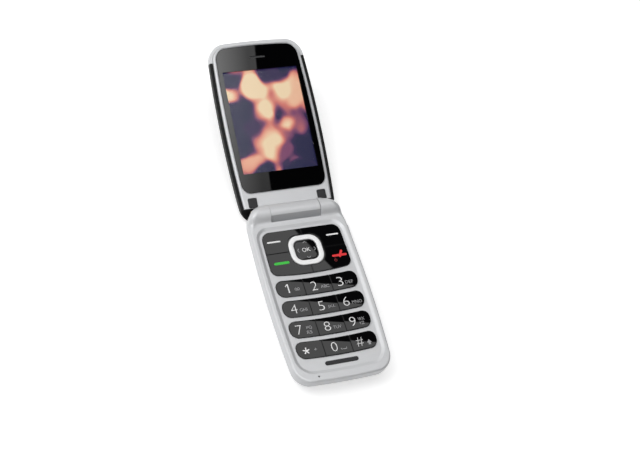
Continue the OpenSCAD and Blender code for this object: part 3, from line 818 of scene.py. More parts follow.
def lower_skin():
    """The whole outside of the lower half, with the recess for the keys, as one closed skin."""
    outline = base_outline()
    r = size("under_radius")
    flat, low = panel(10, -30, 20, 3, 3), inset(outline, r)
    rings = [lifted(between(flat, low, quarter(k, 16)[0]), underside) for k in range(16)]
    for k in range(13):
        rise, spread = quarter(k, 12)
        ring = inset(outline, r * (1 - rise))
        rings.append([(x, y, max(r * (1 - spread), underside(y))) for x, y in ring])
    # The upper edge is wider at the towers, where there is room for it
    rounds = []
    for x, y in outline:
        room = rim_height(y) - max(r, underside(y))
        rounds.append(min(mix(1.2, 3.2, ease(37, 43, y)), 0.8 * room))
    for k in range(10):
        rise, spread = quarter(k, 9)
        ring = inset(outline, [e * (1 - spread) for e in rounds])
        rings.append([(x, y, rim_height(y) - e * (1 - rise)) for (x, y), e in zip(ring, rounds)])
    outer, inner = inset(outline, rounds), recess_outline(-1.75)
    rings += [
        lifted(between(outer, inner, 1 - quarter(k, 44)[1]), rim_height) for k in range(1, 45)
    ]
    # The step down into the recess: distance in from its outline, and depth under the rim
    step = ((-1.6, 0.02), (-1.45, 0.08), (-1.3, 0.17), (-0.2, 0.6), (-0.05, 0.66), (0.15, 0.7))
    rings += [lifted(recess_outline(d), size("rim_height") - drop) for d, drop in step]
    return loft(rings)


def hollow():
    """The space inside the lower half."""
    outline = base_outline()
    wall, floor, r, top = 1.5, 1.2, 4.5, 8.7
    rings = []
    for k in range(9):
        rise, spread = quarter(k, 8)
        rings.append(lifted(inset(outline, wall + r * (1 - rise)), floor + r * (1 - spread)))
    rings.append(lifted(inset(outline, wall), top))
    return carve(loft(rings), cut(across(UNDER_END_Y, BACK, BELOW, ABOVE)))


def notch():
    """The space between the towers, for the lid's barrel."""
    return block(-NOTCH_HALF, NOTCH_HALF, 40.5, BACK, BELOW, ABOVE)


class PHONE_OT_keypad_housing(bpy.types.Operator):
    """Builds the silver keypad shell with its recess, rim and hinge towers"""

    bl_idname = "phone.keypad_housing"
    bl_label = "Keypad housing"

    def execute(self, context):
        windows = [cut(prism(row_outline(row, 0), 7, 12)) for row in range(4)]
        windows.append(cut(prism(navigation_outline(0), 7, 12)))
        volume_slot = block(26, 32, VOLUME_Y - 8.7, VOLUME_Y + 8.7, VOLUME_Z - 1.5, VOLUME_Z + 1.5)
        tower_bores = rod(3.25, -22.9, 22.9)
        shell = carve(
            lower_skin(),
            cut(across(FRONT, TOWER_Y, BELOW, SPLIT_Z + 0.1)),
            cut(hollow()),
            cut(notch()),
            *windows,
            cut(prism(pill(18.6, 2.4, 0, STRIP_Y), 9.1, 12)),
            cut(post(0.5, 8, 12, *MICROPHONE)),
            cut(tower_bores),
            cut(volume_slot),
        )
        piece("keypad_shell", shell, "lower_half",
              finish_of("Silver lacquer on ABS"), ["keypad_housing"])
        return {"FINISHED"}


class PHONE_OT_rear_housing(bpy.types.Operator):
    """Builds the rear shell with its deck, speaker slots and screw holes"""

    bl_idname = "phone.rear_housing"
    bl_label = "Rear housing"

    def execute(self, context):
        deck_z, wall_y = 5.5, COVER_END_Y + 0.15
        deck = prism(panel(26.6, -49, 17.7, 8, 1, 1), deck_z, deck_z + 0.4)
        battery_wall = block(-25.5, 25.5, wall_y, wall_y + 1.2, 0.6, deck_z + 0.1)
        steps = [
            cut(across(FRONT, BACK, SPLIT_Z, ABOVE)),
            cut(across(TOWER_Y - 0.1, BACK, BELOW, ABOVE)),
            cut(hollow()),
            cut(across(FRONT, wall_y, BELOW, COVER_Z + 0.15)),
            cut(notch()),
            join(deck),
            join(battery_wall),
        ]
        for rail in (-26.35, 25.25):
            steps.append(join(block(rail, rail + 1.1, -30, 10, 4.05, deck_z + 0.1)))
        card_window = block(-13, 13, -32, -16, 4.5, 8)
        contact_window = block(-7, 7, 10.1, 15.1, 4.5, 8)
        charging_opening = block(21.2, 32, -12.95, -5.05, 3.5, 6.3)
        steps += [cut(card_window), cut(contact_window), cut(charging_opening)]
        for slot in range(-2, 3):
            steps.append(cut(prism(pill(11, 1, 0, SPEAKER_Y + 2 * slot), -1, 3)))
        for side in (-1, 1):
            at_hinge = (side * HINGE_SCREWS[0], HINGE_SCREWS[1])
            at_free_end = (side * FREE_SCREWS[0], FREE_SCREWS[1])
            steps.append(join(post(2.4, 0.5, SPLIT_Z, *at_hinge)))
            steps.append(cut(post(1.6, -1, 1.8, *at_hinge)))
            steps.append(cut(post(0.85, 1, 8, *at_hinge)))
            steps.append(cut(post(0.85, 3, 8, *at_free_end)))
        piece("rear_shell", carve(lower_skin(), *steps), "lower_half",
              finish_of("Silver lacquer on ABS"), ["rear_housing"])
        return {"FINISHED"}


class PHONE_OT_battery_cover(bpy.types.Operator):
    """Builds the battery cover, which slides off towards the free end"""

    bl_idname = "phone.battery_cover"
    bl_label = "Battery cover"

    def execute(self, context):
        grip = [cut(prism(pill(16, 0.9, 0, y), -1, 0.4)) for y in (9, 7, 5)]
        door = carve(
            lower_skin(),
            cut(across(FRONT, BACK, COVER_Z, ABOVE)),
            cut(across(COVER_END_Y, BACK, BELOW, ABOVE)),
            cut(hollow()),
            *grip,
        )
        piece("battery_door", door, "cover_slide",
              finish_of("Silver lacquer on ABS"), ["battery_cover"])
        return {"FINISHED"}


def soft_edged(outline, z0, z1, edge, corner=0.0, segments=3):
    """A flat-topped body with rounded plan corners and a rounded upper edge."""
    mesh = prism(outline, z0, z1)
    if corner:
        upright = [
            e for e in mesh.edges
            if abs(e.verts[0].co.z - e.verts[1].co.z) > 0.1 and e.calc_face_angle(0) > 0.6
        ]
        bmesh.ops.bevel(mesh, geom=upright, offset=corner, segments=3, profile=0.5,
                        affect="EDGES", material=-1)
    rim = [e for e in mesh.edges if all(v.co.z > z1 - 0.001 for v in e.verts)]
    bmesh.ops.bevel(mesh, geom=rim, offset=edge, segments=segments, profile=0.5, affect="EDGES",
                    material=-1)
    return mesh


def printed(mesh, text, x, y, height, width, z, ink):
    """Adds a printed legend of a given height and width, centred on a point."""
    words = bpy.data.curves.new("legend", "FONT")
    words.body, words.size, words.resolution_u = text, 1.0, 6
    words.offset = DIGIT_OFFSET if height > 3 else 0.0
    carrier = bpy.data.objects.new("legend", words)
    bpy.context.scene.collection.objects.link(carrier)
    bpy.context.view_layer.update()
    flat = bpy.data.meshes.new_from_object(carrier.evaluated_get(bpy.context.evaluated_depsgraph_get()))
    letters = bmesh.new()
    letters.from_mesh(flat)
    bpy.data.objects.remove(carrier)
    bpy.data.curves.remove(words)
    bpy.data.meshes.remove(flat)
    xs = [v.co.x for v in letters.verts]
    ys = [v.co.y for v in letters.verts]
    tall, wide = height / (max(ys) - min(ys)), width / (max(xs) - min(xs))
    middle_x, middle_y = (max(xs) + min(xs)) / 2, (max(ys) + min(ys)) / 2
    for v in letters.verts:
        v.co = Vector((x + (v.co.x - middle_x) * wide, y + (v.co.y - middle_y) * tall, z))
    stamp(mesh, letters, ink)


def stamp(mesh, flat, ink):
    """Gives flat ink its thickness and adds it to a legend."""
    made = bmesh.ops.extrude_face_region(flat, geom=list(flat.faces))["geom"]
    bmesh.ops.translate(flat, verts=[g for g in made if isinstance(g, bmesh.types.BMVert)],
                        vec=(0, 0, INK_THICKNESS))
    bmesh.ops.recalc_face_normals(flat, faces=flat.faces)
    for face in flat.faces:
        face.material_index = ink
    data = bpy.data.meshes.new("ink")
    flat.to_mesh(data)
    flat.free()
    mesh.from_mesh(data)
    bpy.data.meshes.remove(data)


def mark(mesh, outline, z, ink=0):
    """Adds a printed shape."""
    flat = bmesh.new()
    bmesh.ops.edgeloop_fill(flat, edges=loop(flat, lifted(outline, z)))
    stamp(mesh, flat, ink)


# Digits and letters on the number keys: text, centre, height, width, and 0 for white or 1 for grey
LEGENDS = {
    "1": [("oo", -11.8, 0.5, 1.5, 2.8, 1)],
    "2": [("2", -2.2, 0.7, 5.1, 3.3, 0), ("ABC", 3.6, -0.3, 1.75, 4.7, 1)],
    "3": [("3", 12.5, 1.0, 5.1, 3.3, 0), ("DEF", 17.5, 0.1, 1.75, 4.4, 1)],
    "4": [("4", -16.9, -10.4, 5.1, 3.5, 0), ("GHI", -11.9, -11.5, 1.75, 4.1, 1)],
    "5": [("5", -1.8, -11.0, 5.1, 3.3, 0), ("JKL", 3.7, -12.2, 1.75, 4.2, 1)],
    "6": [("6", 12.3, -10.7, 5.1, 3.3, 0), ("MNO", 18.2, -11.7, 1.75, 5.6, 1)],
    "7": [("7", -17.6, -22.2, 5.1, 3.2, 0), ("PQ", -11.9, -21.8, 1.75, 3.0, 1),
          ("RS", -12.4, -24.3, 1.75, 2.8, 1)],
    "8": [("8", -2.1, -22.7, 5.1, 3.4, 0), ("TUV", 3.2, -23.9, 1.75, 4.6, 1)],
    "9": [("9", 12.3, -22.4, 5.1, 3.3, 0), ("WX", 17.3, -21.6, 1.75, 3.6, 1),
          ("YZ", 17.0, -24.0, 1.75, 2.8, 1)],
    "star": [("+", -12.2, -34.1, 1.5, 1.5, 1)],
    "0": [("0", -1.9, -34.5, 5.1, 3.3, 0)],
    "hash": [("#", 12.5, -34.2, 5.1, 3.9, 0)],
}
DIGIT_HEIGHT = 5.1


def digit_one(ink):
    """A plain one: stem and flag, and the mark beside it."""
    mark(ink, pill(2.4, 0.3, -11.8, -0.15), INK_Z, 1)
    mark(ink, soft_square(0.62, DIGIT_HEIGHT, 0.05, -16.45, 1.4, 2), INK_Z)
    mark(ink, [(-16.76, 3.95), (-16.14, 3.95), (-17.85, 2.35), (-17.85, 2.95)], INK_Z)


def star(ink):
    """Five round-ended arms about one point, each a little over the last."""
    arms, reach = 5, 0.95
    for arm in range(arms):
        a = math.radians(90 + 360 / arms * arm)
        x, y = -17.3 + reach * math.cos(a), -34.2 + reach * math.sin(a)
        mark(ink, pill(1.95, 0.62, x, y, math.degrees(a)), INK_Z + 0.002 * arm)


def space_mark(ink):
    """A bar with its two ends turned up."""
    for x, y, long, tall in ((3.0, -36.5, 3.2, 0.32), (1.5, -36.15, 0.32, 0.9),
                             (4.5, -36.15, 0.32, 0.9)):
        mark(ink, soft_square(long, tall, 0.1, x, y, 2), INK_Z, 1)


def shift_arrow(ink):
    """An arrow head on a short stem."""
    mark(ink, [(16.3, -35.3), (18.9, -35.3), (17.6, -33.6)], INK_Z, 1)
    mark(ink, soft_square(1.2, 1.2, 0.1, 17.6, -35.9, 2), INK_Z, 1)


MARKS = {"1": digit_one, "star": star, "0": space_mark, "hash": shift_arrow}


def settle(mesh, row):
    """Gives the top of a number row its slight crown, and its slant towards the hinge."""
    slant = mix(0.0098, 0.021, row / 3)
    for v in mesh.verts:
        if v.co.z > KEY_TOP - 0.5:
            along = v.co.y - row_middle(row) + ROW_BOW * (1 - (v.co.x / FIELD_HALF) ** 2)
            v.co.z -= along**2 / (2 * size("key_crown")) + slant * (along + ROW_HEIGHT / 2)


class PHONE_OT_number_keys(bpy.types.Operator):
    """Builds the twelve number keys with their printed legends"""

    bl_idname = "phone.number_keys"
    bl_label = "Number keys"

    def execute(self, context):
        for index, name in enumerate(NUMBER_KEYS):
            row, col = divmod(index, 3)
            body = f"key_{name}_cap"
            piece(f"key_{name}_top", self.key(row, col), body,
                  finish_of("Polished black acrylic"), [f"key_{name}"], sharp=9)
            piece(f"key_{name}_legend", self.legend(name, row), body,
                  [finish_of("White screen ink"), finish_of("Grey screen ink")])
        return {"FINISHED"}

    def key(self, row, col):
        """One key, cut from its row, with rows of points across its top for the crown."""
        column, half_gap, strip = 2 * FIELD_HALF / 3, KEY_GAP / 2, 0.85
        outline = row_outline(row, KEY_GAP)
        left = (col - 1.5) * column
        if col > 0:
            outline = clip(outline, 0, left + half_gap, 1)
        if col < 2:
            outline = clip(outline, 0, left + column - half_gap, -1)
        mesh = soft_edged(outline, KEY_BASE, KEY_TOP, size("key_edge"), 0.25)
        for step in range(-5, 6):
            bmesh.ops.bisect_plane(
                mesh, geom=[*mesh.verts, *mesh.edges, *mesh.faces], dist=0.0001,
                plane_co=(0, row_middle(row) - 0.5 + step * strip, 0), plane_no=(0, 1, 0),
            )
        settle(mesh, row)
        return mesh

    def legend(self, name, row):
        ink = bmesh.new()
        for text, x, y, height, width, tone in LEGENDS[name]:
            tall = height * size("digit_height") / DIGIT_HEIGHT if tone == 0 else height
            printed(ink, text, x, y, tall, width, INK_Z, tone)
        if name in MARKS:
            MARKS[name](ink)
        settle(ink, row)
        return ink


class PHONE_OT_navigation(bpy.types.Operator):
    """Builds the four keys round the ring, the ring itself and the key in its middle"""

    bl_idname = "phone.navigation"
    bl_label = "Navigation keys"

    def execute(self, context):
        half_gap = KEY_GAP / 2
        around = soft_square(19.1, 18.1, 6.2, 0, RING_Y, 16)
        for name, sx, sy in (("soft_key_left", -1, 1), ("soft_key_right", 1, 1),
                             ("call_key", -1, -1), ("end_key", 1, -1)):
            outer = clip(navigation_outline(KEY_GAP), 0, sx * half_gap, sx)
            outer = clip(outer, 1, RING_Y + sy * half_gap, sy)
            mesh = carve(prism(outer, KEY_BASE, KEY_TOP), cut(prism(around, 8, 11)))
            bmesh.ops.dissolve_limit(mesh, angle_limit=math.radians(0.5), verts=mesh.verts,
                                     edges=mesh.edges)
            rim = [
                e for e in mesh.edges
                if all(v.co.z > KEY_TOP - 0.001 for v in e.verts) and e.calc_face_angle(0) > 0.5
            ]
            bmesh.ops.bevel(mesh, geom=rim, offset=size("key_edge"), segments=3, profile=0.5,
                            affect="EDGES", material=-1)
            piece(f"{name}_top", mesh, f"{name}_cap",
                  finish_of("Polished black acrylic"), [name], sharp=9)
        self.legends()
        self.ring()
        return {"FINISHED"}

    def legends(self):
        """The marks on the four keys, and OK with its four chevrons."""
        white, grey = finish_of("White screen ink"), finish_of("Grey screen ink")
        bars = (
            ("soft_key_left", [white], [(7.6, 0.85, -16.5, 28.9, 0)]),
            ("soft_key_right", [white], [(7.0, 0.85, 16.8, 28.7, 0)]),
            ("call_key", [finish_of("Green screen ink")], [(8.6, 1.5, -15.7, 16.2, 0)]),
            ("end_key", [finish_of("Red screen ink"), finish_of("Dark red screen ink")],
             [(8.4, 1.3, 17.1, 16.1, 0), (4.6, 1.3, 17.9, 16.9, 62)]),
        )
        for name, inks, shapes in bars:
            mesh = bmesh.new()
            for order, (long, tall, x, y, turn) in enumerate(shapes):
                mark(mesh, pill(long, tall, x, y, turn), INK_Z + order * 0.004)
            if name == "end_key":
                printed(mesh, "O", 14.2, 13.5, 1.7, 1.6, INK_Z, 1)
                mark(mesh, soft_square(0.3, 1.2, 0.1, 14.2, 14.2, 2), INK_Z, 1)
            piece(f"{name}_legend", mesh, f"{name}_cap", inks)
        mesh = bmesh.new()
        top = OK_TOP + 0.003
        printed(mesh, "OK", -0.1, 22.0, 2.3, 4.7, top, 1)
        for x, y, turn in ((0.2, 26.6, 0), (4.9, 22.0, -90), (0.2, 17.4, 180), (-4.7, 22.0, 90)):
            for side in (-1, 1):
                c, s = math.cos(math.radians(turn)), math.sin(math.radians(turn))
                px, py = side * 0.48, -0.1
                place = (x + px * c - py * s, y + px * s + py * c)
                mark(mesh, pill(1.35, 0.3, *place, turn - side * 35), top)
        piece("ok_key_legend", mesh, "ok_key_cap", [grey, white])

    def ring(self):
        """The ring, as steps in from its outline and heights, and the key in its middle."""
        steps = ((0, 8.75), (0, 9.95), (0.06, 10.12), (0.2, 10.24), (0.42, 10.31), (0.8, 10.345),
                 (1.4, 10.35), (2.0, 10.345), (2.38, 10.31), (2.6, 10.24), (2.74, 10.12),
                 (2.8, 9.95), (2.8, 8.75))
        mesh = bmesh.new()
        loops = [
            loop(mesh, lifted(soft_square(18.5 - 2 * d, 17.5 - 2 * d, 6.5 - d * 2.7 / 2.8, 0,
                                          RING_Y, 14), z))
            for d, z in steps
        ]
        for a, b in zip(loops, loops[1:] + loops[:1]):
            bmesh.ops.bridge_loops(mesh, edges=a + b)
        bmesh.ops.recalc_face_normals(mesh, faces=mesh.faces)
        piece("navigation_ring", mesh, "nav_rocker", finish_of("Polished white ABS"),
              ["nav_ring"])
        rings = [(0, 8.4), (0, 9.9), (0.06, 10.07), (0.2, 10.18), (0.45, 10.24), (0.8, OK_TOP)]
        mesh = loft([
            lifted(soft_square(12.2 - 2 * d, 11.2 - 2 * d, 3.45 - d, 0, RING_Y, 14), z)
            for d, z in rings
        ])
        piece("ok_key_top", mesh, "ok_key_cap", finish_of("Polished black acrylic"),
              ["ok_key"], sharp=9)


# --- Lid: written as it lies when shut, then opened ---


def lid_back(y):
    """Outside of the lid along Y: flat, then a long fall to the heel."""
    start, r = 36.0, 26.0
    return LID_BACK_Z if y <= start else LID_BACK_Z - r + math.sqrt(r**2 - (y - start) ** 2)


def lid_skin():
    """The outer shell of the lid, before it is hollowed."""
    outline, round_r, lip = lid_outline(), 3.5, 0.35
    edge = ((0.3, 0), (0.1, 0.05), (0.02, 0.16), (0, lip))
    rings = [lifted(inset(outline, d), LID_EDGE_Z + rise) for d, rise in edge]
    rounds = [min(round_r, 0.9 * (lid_back(y) - LID_EDGE_Z - lip)) for x, y in outline]
    for k in range(13):
        rise, spread = quarter(k, 12)
        ring = inset(outline, [r * (1 - spread) for r in rounds])
        rings.append([(x, y, lid_back(y) - r * (1 - rise)) for (x, y), r in zip(ring, rounds)])
    outer, inner = inset(outline, rounds), panel(8, -30, 20, 3, 3)
    rings += [lifted(between(outer, inner, k / 20), lid_back) for k in range(1, 21)]
    return loft(rings)


def lid_hollow():
    """The space inside the lid's outer shell."""
    outline, wall = lid_outline(), 1.7
    steps = ((wall, 5), (wall, 15.15), (wall + 1.35, 16.23))
    rings = [lifted(inset(outline, d), z) for d, z in steps]
    return carve(loft(rings), cut(across(41, BACK, 0, LID_TOOL_TOP)))


def end_dip(y):
    """How far the frame's face lies under the lens at the free end."""
    return 0.2 * ease(-44, -48, y)


class PHONE_OT_lid_shell(bpy.types.Operator):
    """Builds the lid's black cover, its silver end cap and the silver inner frame with its barrel"""

    bl_idname = "phone.lid_shell"
    bl_label = "Lid shell"

    def execute(self, context):
        tower_room = rod(TOWER_R + 0.3, -SIDE, SIDE)
        neck_room = block(-NOTCH_HALF, NOTCH_HALF, 40, 44.5, 0, 13.55)
        cover = carve(
            lid_skin(),
            cut(lid_hollow()),
            cut(tower_room),
            cut(neck_room),
            cut(across(FRONT, CAP_Y, 0, LID_TOOL_TOP)),
            cut(post(4.1, 10, LID_TOOL_TOP, *CAMERA)),
            cut(post(1.6, 10, LID_TOOL_TOP, *FLASH)),
        )
        piece("lid_back_cover", opened(cover), "lid",
              finish_of("Satin black lacquer"), ["lid_cover"])
        cap = carve(lid_skin(), cut(lid_hollow()), cut(across(CAP_Y - 0.1, BACK, 0, LID_TOOL_TOP)))
        piece("lid_tip", opened(cap), "lid", finish_of("Silver lacquer on ABS"),
              ["lid_end_cap"])
        self.inner_frame()
        return {"FINISHED"}

    def inner_frame(self):
        """The face round the lens, joined to the barrel, with seats for the dampers."""
        display_room = block(-22, 22, -35.9, 22.5, 5, 14)
        steps = [
            cut(across(40.9, BACK, 0, LID_TOOL_TOP)),
            join(self.barrel()),
            cut(display_room),
            cut(prism(pill(10, 1.6, 0, EARPIECE_Y), 5, 20)),
        ]
        # Bore for the bush, hollow for the ribbon and the cam, bore for the shaft
        for r, x0, x1 in ((3.05, -15, -11), (4.1, -11.2, 7.8), (2.2, 7, 15)):
            steps.append(cut(rod(r, x0, x1)))
        for side in (-1, 1):
            place = (side * DAMPER[0], DAMPER[1])
            steps.append(cut(prism(soft_square(5.25, 5.55, 0.85, *place, 6), 9.5, 11.3)))
            steps.append(cut(post(1.6, 9.5, 12.2, *place)))
        piece("lid_inner_frame", opened(carve(self.face(), *steps)), "lid",
              finish_of("Silver lacquer on ABS"), ["lid_frame"])

    def face(self):
        """The frame's rounded side, its flat face, and the groove and lip round the lens."""
        outline, out, wall, back_z = lid_outline(), 1.85, 1.3, 14.9
        rounds = [mix(0.4, 0.9, ease(-50, -40, y)) for x, y in outline]
        rings = [lifted(inset(outline, out + wall), z) for z in (12.33, back_z)]
        rings += [lifted(inset(outline, out), z) for z in (back_z, LENS_Z + max(rounds))]
        for k in range(9):
            rise, spread = quarter(k, 8)
            ring = inset(outline, [out + r * (1 - spread) for r in rounds])
            rings.append([
                (x, y, end_dip(y) + LENS_Z + r * (1 - rise)) for (x, y), r in zip(ring, rounds)
            ])
        outer, inner = inset(outline, [out + r for r in rounds]), lens_outline(-0.55)
        for t in (0.5, 1.0):
            rings.append(lifted(between(outer, inner, t), lambda y: LENS_Z + end_dip(y)))
        seat = ((-0.52, 0), (-0.5, 0.5), (-0.27, 0.5), (-0.25, 0.02), (-0.22, 0), (-0.14, 0),
                (-0.11, 0.04), (-0.1, 1.05))
        for d, z in seat:
            rings.append([(x, y, LENS_Z + z + end_dip(y)) for x, y in lens_outline(d)])
        return loft(rings)

    def barrel(self):
        """The barrel between the towers, and the neck that ties it to the face."""
        neck_y, neck_top = 36.8, 13.35
        profile = [(neck_y, 12.5), (neck_y, LENS_Z + 0.3), (38.0, LENS_Z)]
        profile += arc(39.6, LENS_Z - 3, 3, 90, 48, 8)
        profile += arc(HINGE_Y, HINGE_Z, BARREL_R, 172, 287, 40)
        profile += arc(HINGE_Y, HINGE_Z, BARREL_R, 355, 475, 40)
        profile += [(40.4, neck_top), (neck_y, neck_top)]
        barrel = side_view(profile, -BARREL_HALF, BARREL_HALF)
        ends = [e for e in barrel.edges if abs(e.verts[0].co.x - e.verts[1].co.x) < 0.01]
        bmesh.ops.bevel(barrel, geom=ends, offset=0.25, segments=3, profile=0.5, affect="EDGES",
                        material=-1)
        return barrel


class PHONE_OT_lens_and_display(bpy.types.Operator):
    """Builds the lens with its black border, the clear window and the lit picture under it"""

    bl_idname = "phone.lens_and_display"
    bl_label = "Lens and display"

    def execute(self, context):
        wide, tall = PICTURE
        edge = ((0, 1), (0, 0.24), (0.06, 0.12), (0.26, 0))
        border = carve(
            loft([lifted(lens_outline(d), LENS_Z + z) for d, z in edge]),
            cut(prism(soft_square(wide, tall, 0.4, 0, PICTURE_Y, 4), 5, 20)),
            cut(prism(pill(9.3, 1.1, 0, EARPIECE_Y), 5, 20)),
        )
        piece("lens_border", opened(border), "lid",
              finish_of("Polished black acrylic"), ["lens"], sharp=20)
        sight = soft_square(wide - 0.02, tall - 0.02, 0.39, 0, PICTURE_Y, 4)
        piece("lens_window", opened(prism(sight, LENS_Z, LENS_Z + 0.9)), "lid",
              finish_of("Clear acrylic"))
        picture = prism(soft_square(wide + 0.7, tall + 0.7, 0.5, 0, PICTURE_Y, 4), 12.2, 12.36)
        uv = picture.loops.layers.uv.new("picture")
        for surface in picture.faces:
            for corner in surface.loops:
                x, y, _ = corner.vert.co
                corner[uv].uv = (0.5 + x / tall, 0.5 - (y - PICTURE_Y) / tall)
        piece("display_picture", opened(picture), "lid", finish_of("Lit display"))
        return {"FINISHED"}


class PHONE_OT_rubber_parts(bpy.types.Operator):
    """Builds the two lid dampers, the strip under the keys and the microphone's boot"""

    bl_idname = "phone.rubber_parts"
    bl_label = "Rubber parts"

    def execute(self, context):
        rubber = finish_of("Moulded TPU")
        mesh = bmesh.new()
        for side in (-1, 1):
            outline = soft_square(5, 5.3, 0.75, side * DAMPER[0], DAMPER[1], 6)
            pad = soft_edged(outline, -11.18, -10.54, 0.35)
            data = bpy.data.meshes.new("pad")
            pad.to_mesh(data)
            pad.free()
            mesh.from_mesh(data)
            bpy.data.meshes.remove(data)
        bmesh.ops.scale(mesh, vec=(1, 1, -1), verts=mesh.verts)
        bmesh.ops.recalc_face_normals(mesh, faces=mesh.faces)
        piece("damper_pads", opened(mesh), "lid", rubber, ["lid_dampers"])
        strip = soft_edged(pill(18.4, 2.2, 0, STRIP_Y), 9.15, 10.05, 0.3)
        piece("keypad_strip", strip, "lower_half", rubber, ["bumper_strip"])
        boot = soft_edged(soft_square(0.94, 0.94, 0.45, *MICROPHONE, 6), 8.75, 9.75, 0.05)
        piece("microphone_boot", boot, "lower_half", rubber)
        return {"FINISHED"}


# Finish of each CAD node that stays as it is
DRESSED = {
    "Battery wrap": ["battery"],
    "Gold flash": ["battery_contacts", "microphone", "antenna"],
    "Solder mask": ["main_board", "lid_board"],
    "Polyester film": ["dome_sheet"],
    "Silicone rubber": ["key_mat"],
    "Black nylon": ["loudspeaker", "earpiece", "earpiece_mesh", "camera_module"],
    "Nickel-plated steel": [
        "vibration_motor", "usb_socket", "sim_socket", "hinge_follower", "hinge_spring",
        "hinge_shaft", "hinge_cam", "lid_magnet", "lcd_module",
    ],
    "Black-oxide steel": ["housing_screws", "hinge_capsule", "lid_screws"],
    "Glass-filled nylon": ["nav_plate"],
    "Acetal": ["hinge_bush"],
    "Polyimide ribbon": ["flex_cable"],
    "Phosphor lens": ["flash_led"],
    "Polished black acrylic": ["camera_window"],
    "Silver lacquer on ABS": ["volume_key"],
}


class PHONE_OT_dress_cad(bpy.types.Operator):
    """Gives each CAD part that stays its real finish"""

    bl_idname = "phone.dress_cad"
    bl_label = "Finish the inner parts"

    def execute(self, context):
        for finish, names in DRESSED.items():
            for name in names:
                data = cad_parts[name].data
                data.materials.clear()
                data.materials.append(finish_of(finish))
        return {"FINISHED"}


# --- Studio ---

# What the lamps are aimed at, in metres
MIDDLE = Vector((0, 0.04, 0.01))


def floor_paint(material):
    """Matte white card: keeps a soft shadow, and reads as white to the camera and in reflections."""
    plain_start(material)
    card = add_node(material, "ShaderNodeBsdfDiffuse", {"Color": (0.8, 0.8, 0.8, 1)})
    path = add_node(material, "ShaderNodeLightPath")
    seen = add_node(material, "ShaderNodeMath", {
        0: path.outputs["Is Camera Ray"], 1: path.outputs["Is Glossy Ray"],
    }, operation="MAXIMUM")
    seen = add_node(material, "ShaderNodeMath", {
        0: seen.outputs[0], 1: path.outputs["Is Transmission Ray"],
    }, operation="MAXIMUM")
    lift = add_node(material, "ShaderNodeMath", {0: seen.outputs[0], 1: 0.5}, operation="MULTIPLY")
    glow = add_node(material, "ShaderNodeEmission", {"Strength": lift.outputs[0]})
    return output(material, add_node(material, "ShaderNodeAddShader", {
        0: card.outputs[0], 1: glow.outputs[0],
    }))


def studio_world():
    """White to the camera; soft light; and in reflections a white tent with a dark side."""
    world = bpy.data.worlds.new("Studio tent")
    bpy.context.scene.world = world
    world.use_nodes = True
    world.node_tree.nodes.clear()
    way = add_node(world, "ShaderNodeTexCoord").outputs["Generated"]
    parts = add_node(world, "ShaderNodeSeparateXYZ", {"Vector": way})
    x, y = parts.outputs["X"], parts.outputs["Y"]
    # Overhead, beyond the hinge: what the keys mirror, white up to a slanting edge and then dark
    slant = add_node(world, "ShaderNodeMath", {0: x, 1: 0.83, 2: 0.0}, operation="MULTIPLY_ADD")
    slant = add_node(world, "ShaderNodeMath", {0: y, 1: 0.56, 2: slant.outputs[0]},
                     operation="MULTIPLY_ADD")
    keypad = add_node(world, "ShaderNodeMapRange", {
        "Value": slant.outputs[0], "From Min": 0.5247, "From Max": 0.5253, "To Min": 1.72,
        "To Max": 0.03,
    })
    # Overhead, nearer: what the lens mirrors, a falling glow up to an upright edge
    glow = add_node(world, "ShaderNodeMapRange", {
        "Value": x, "From Min": 0.3236, "From Max": 0.341, "To Min": 3.8, "To Max": 1.35,
    })
    fade = add_node(world, "ShaderNodeMapRange", {
        "Value": y, "From Min": -0.035, "From Max": 0.025, "To Min": 0.55, "To Max": 1.0,
    })
    glow = add_node(world, "ShaderNodeMath", {0: glow.outputs[0], 1: fade.outputs[0]},
                    operation="MULTIPLY")
    edge = add_node(world, "ShaderNodeMapRange", {
        "Value": x, "From Min": 0.3453, "From Max": 0.3459, "To Min": 1.0, "To Max": 0.0,
    })
    lid = add_node(world, "ShaderNodeMath", {0: glow.outputs[0], 1: edge.outputs[0]},
                   operation="MULTIPLY")
    # Lower down: white, with a dark side towards +X
    sides = add_node(world, "ShaderNodeMapRange", {
        "Value": x, "From Min": 0.2, "From Max": 0.5, "To Min": 1.0, "To Max": 0.1,
    })
    far = add_node(world, "ShaderNodeMath", {0: y, 1: 0.2}, operation="GREATER_THAN")
    high = add_node(world, "ShaderNodeMath", {0: parts.outputs["Z"], 1: 0.78},
                    operation="GREATER_THAN")
    tent = add_node(world, "ShaderNodeMix", {
        0: far.outputs[0], 2: lid.outputs[0], 3: keypad.outputs[0],
    })
    tent = add_node(world, "ShaderNodeMix", {
        0: high.outputs[0], 2: sides.outputs[0], 3: tent.outputs[0],
    })
    # Soft light, stronger from the left and from behind the hinge
    soft = add_node(world, "ShaderNodeMath", {0: x, 1: -0.26, 2: 0.46}, operation="MULTIPLY_ADD")
    soft = add_node(world, "ShaderNodeMath", {0: y, 1: 0.22, 2: soft.outputs[0]},
                    operation="MULTIPLY_ADD")
    soft = add_node(world, "ShaderNodeMath", {0: soft.outputs[0], 1: 0.05}, operation="MAXIMUM")
    path = add_node(world, "ShaderNodeLightPath")
    mirrored = add_node(world, "ShaderNodeMath", {
        0: path.outputs["Is Glossy Ray"], 1: path.outputs["Is Transmission Ray"],
    }, operation="MAXIMUM")
    level = add_node(world, "ShaderNodeMix", {
        0: mirrored.outputs[0], 2: soft.outputs[0], 3: tent.outputs[0],
    })
    level = add_node(world, "ShaderNodeMix", {
        0: path.outputs["Is Camera Ray"], 2: level.outputs[0], 3: 1.0,
    })
    shine = add_node(world, "ShaderNodeBackground", {
        "Color": (1, 1, 1, 1), "Strength": level.outputs[0],
    })
    add_node(world, "ShaderNodeOutputWorld", {"Surface": shine.outputs[0]})


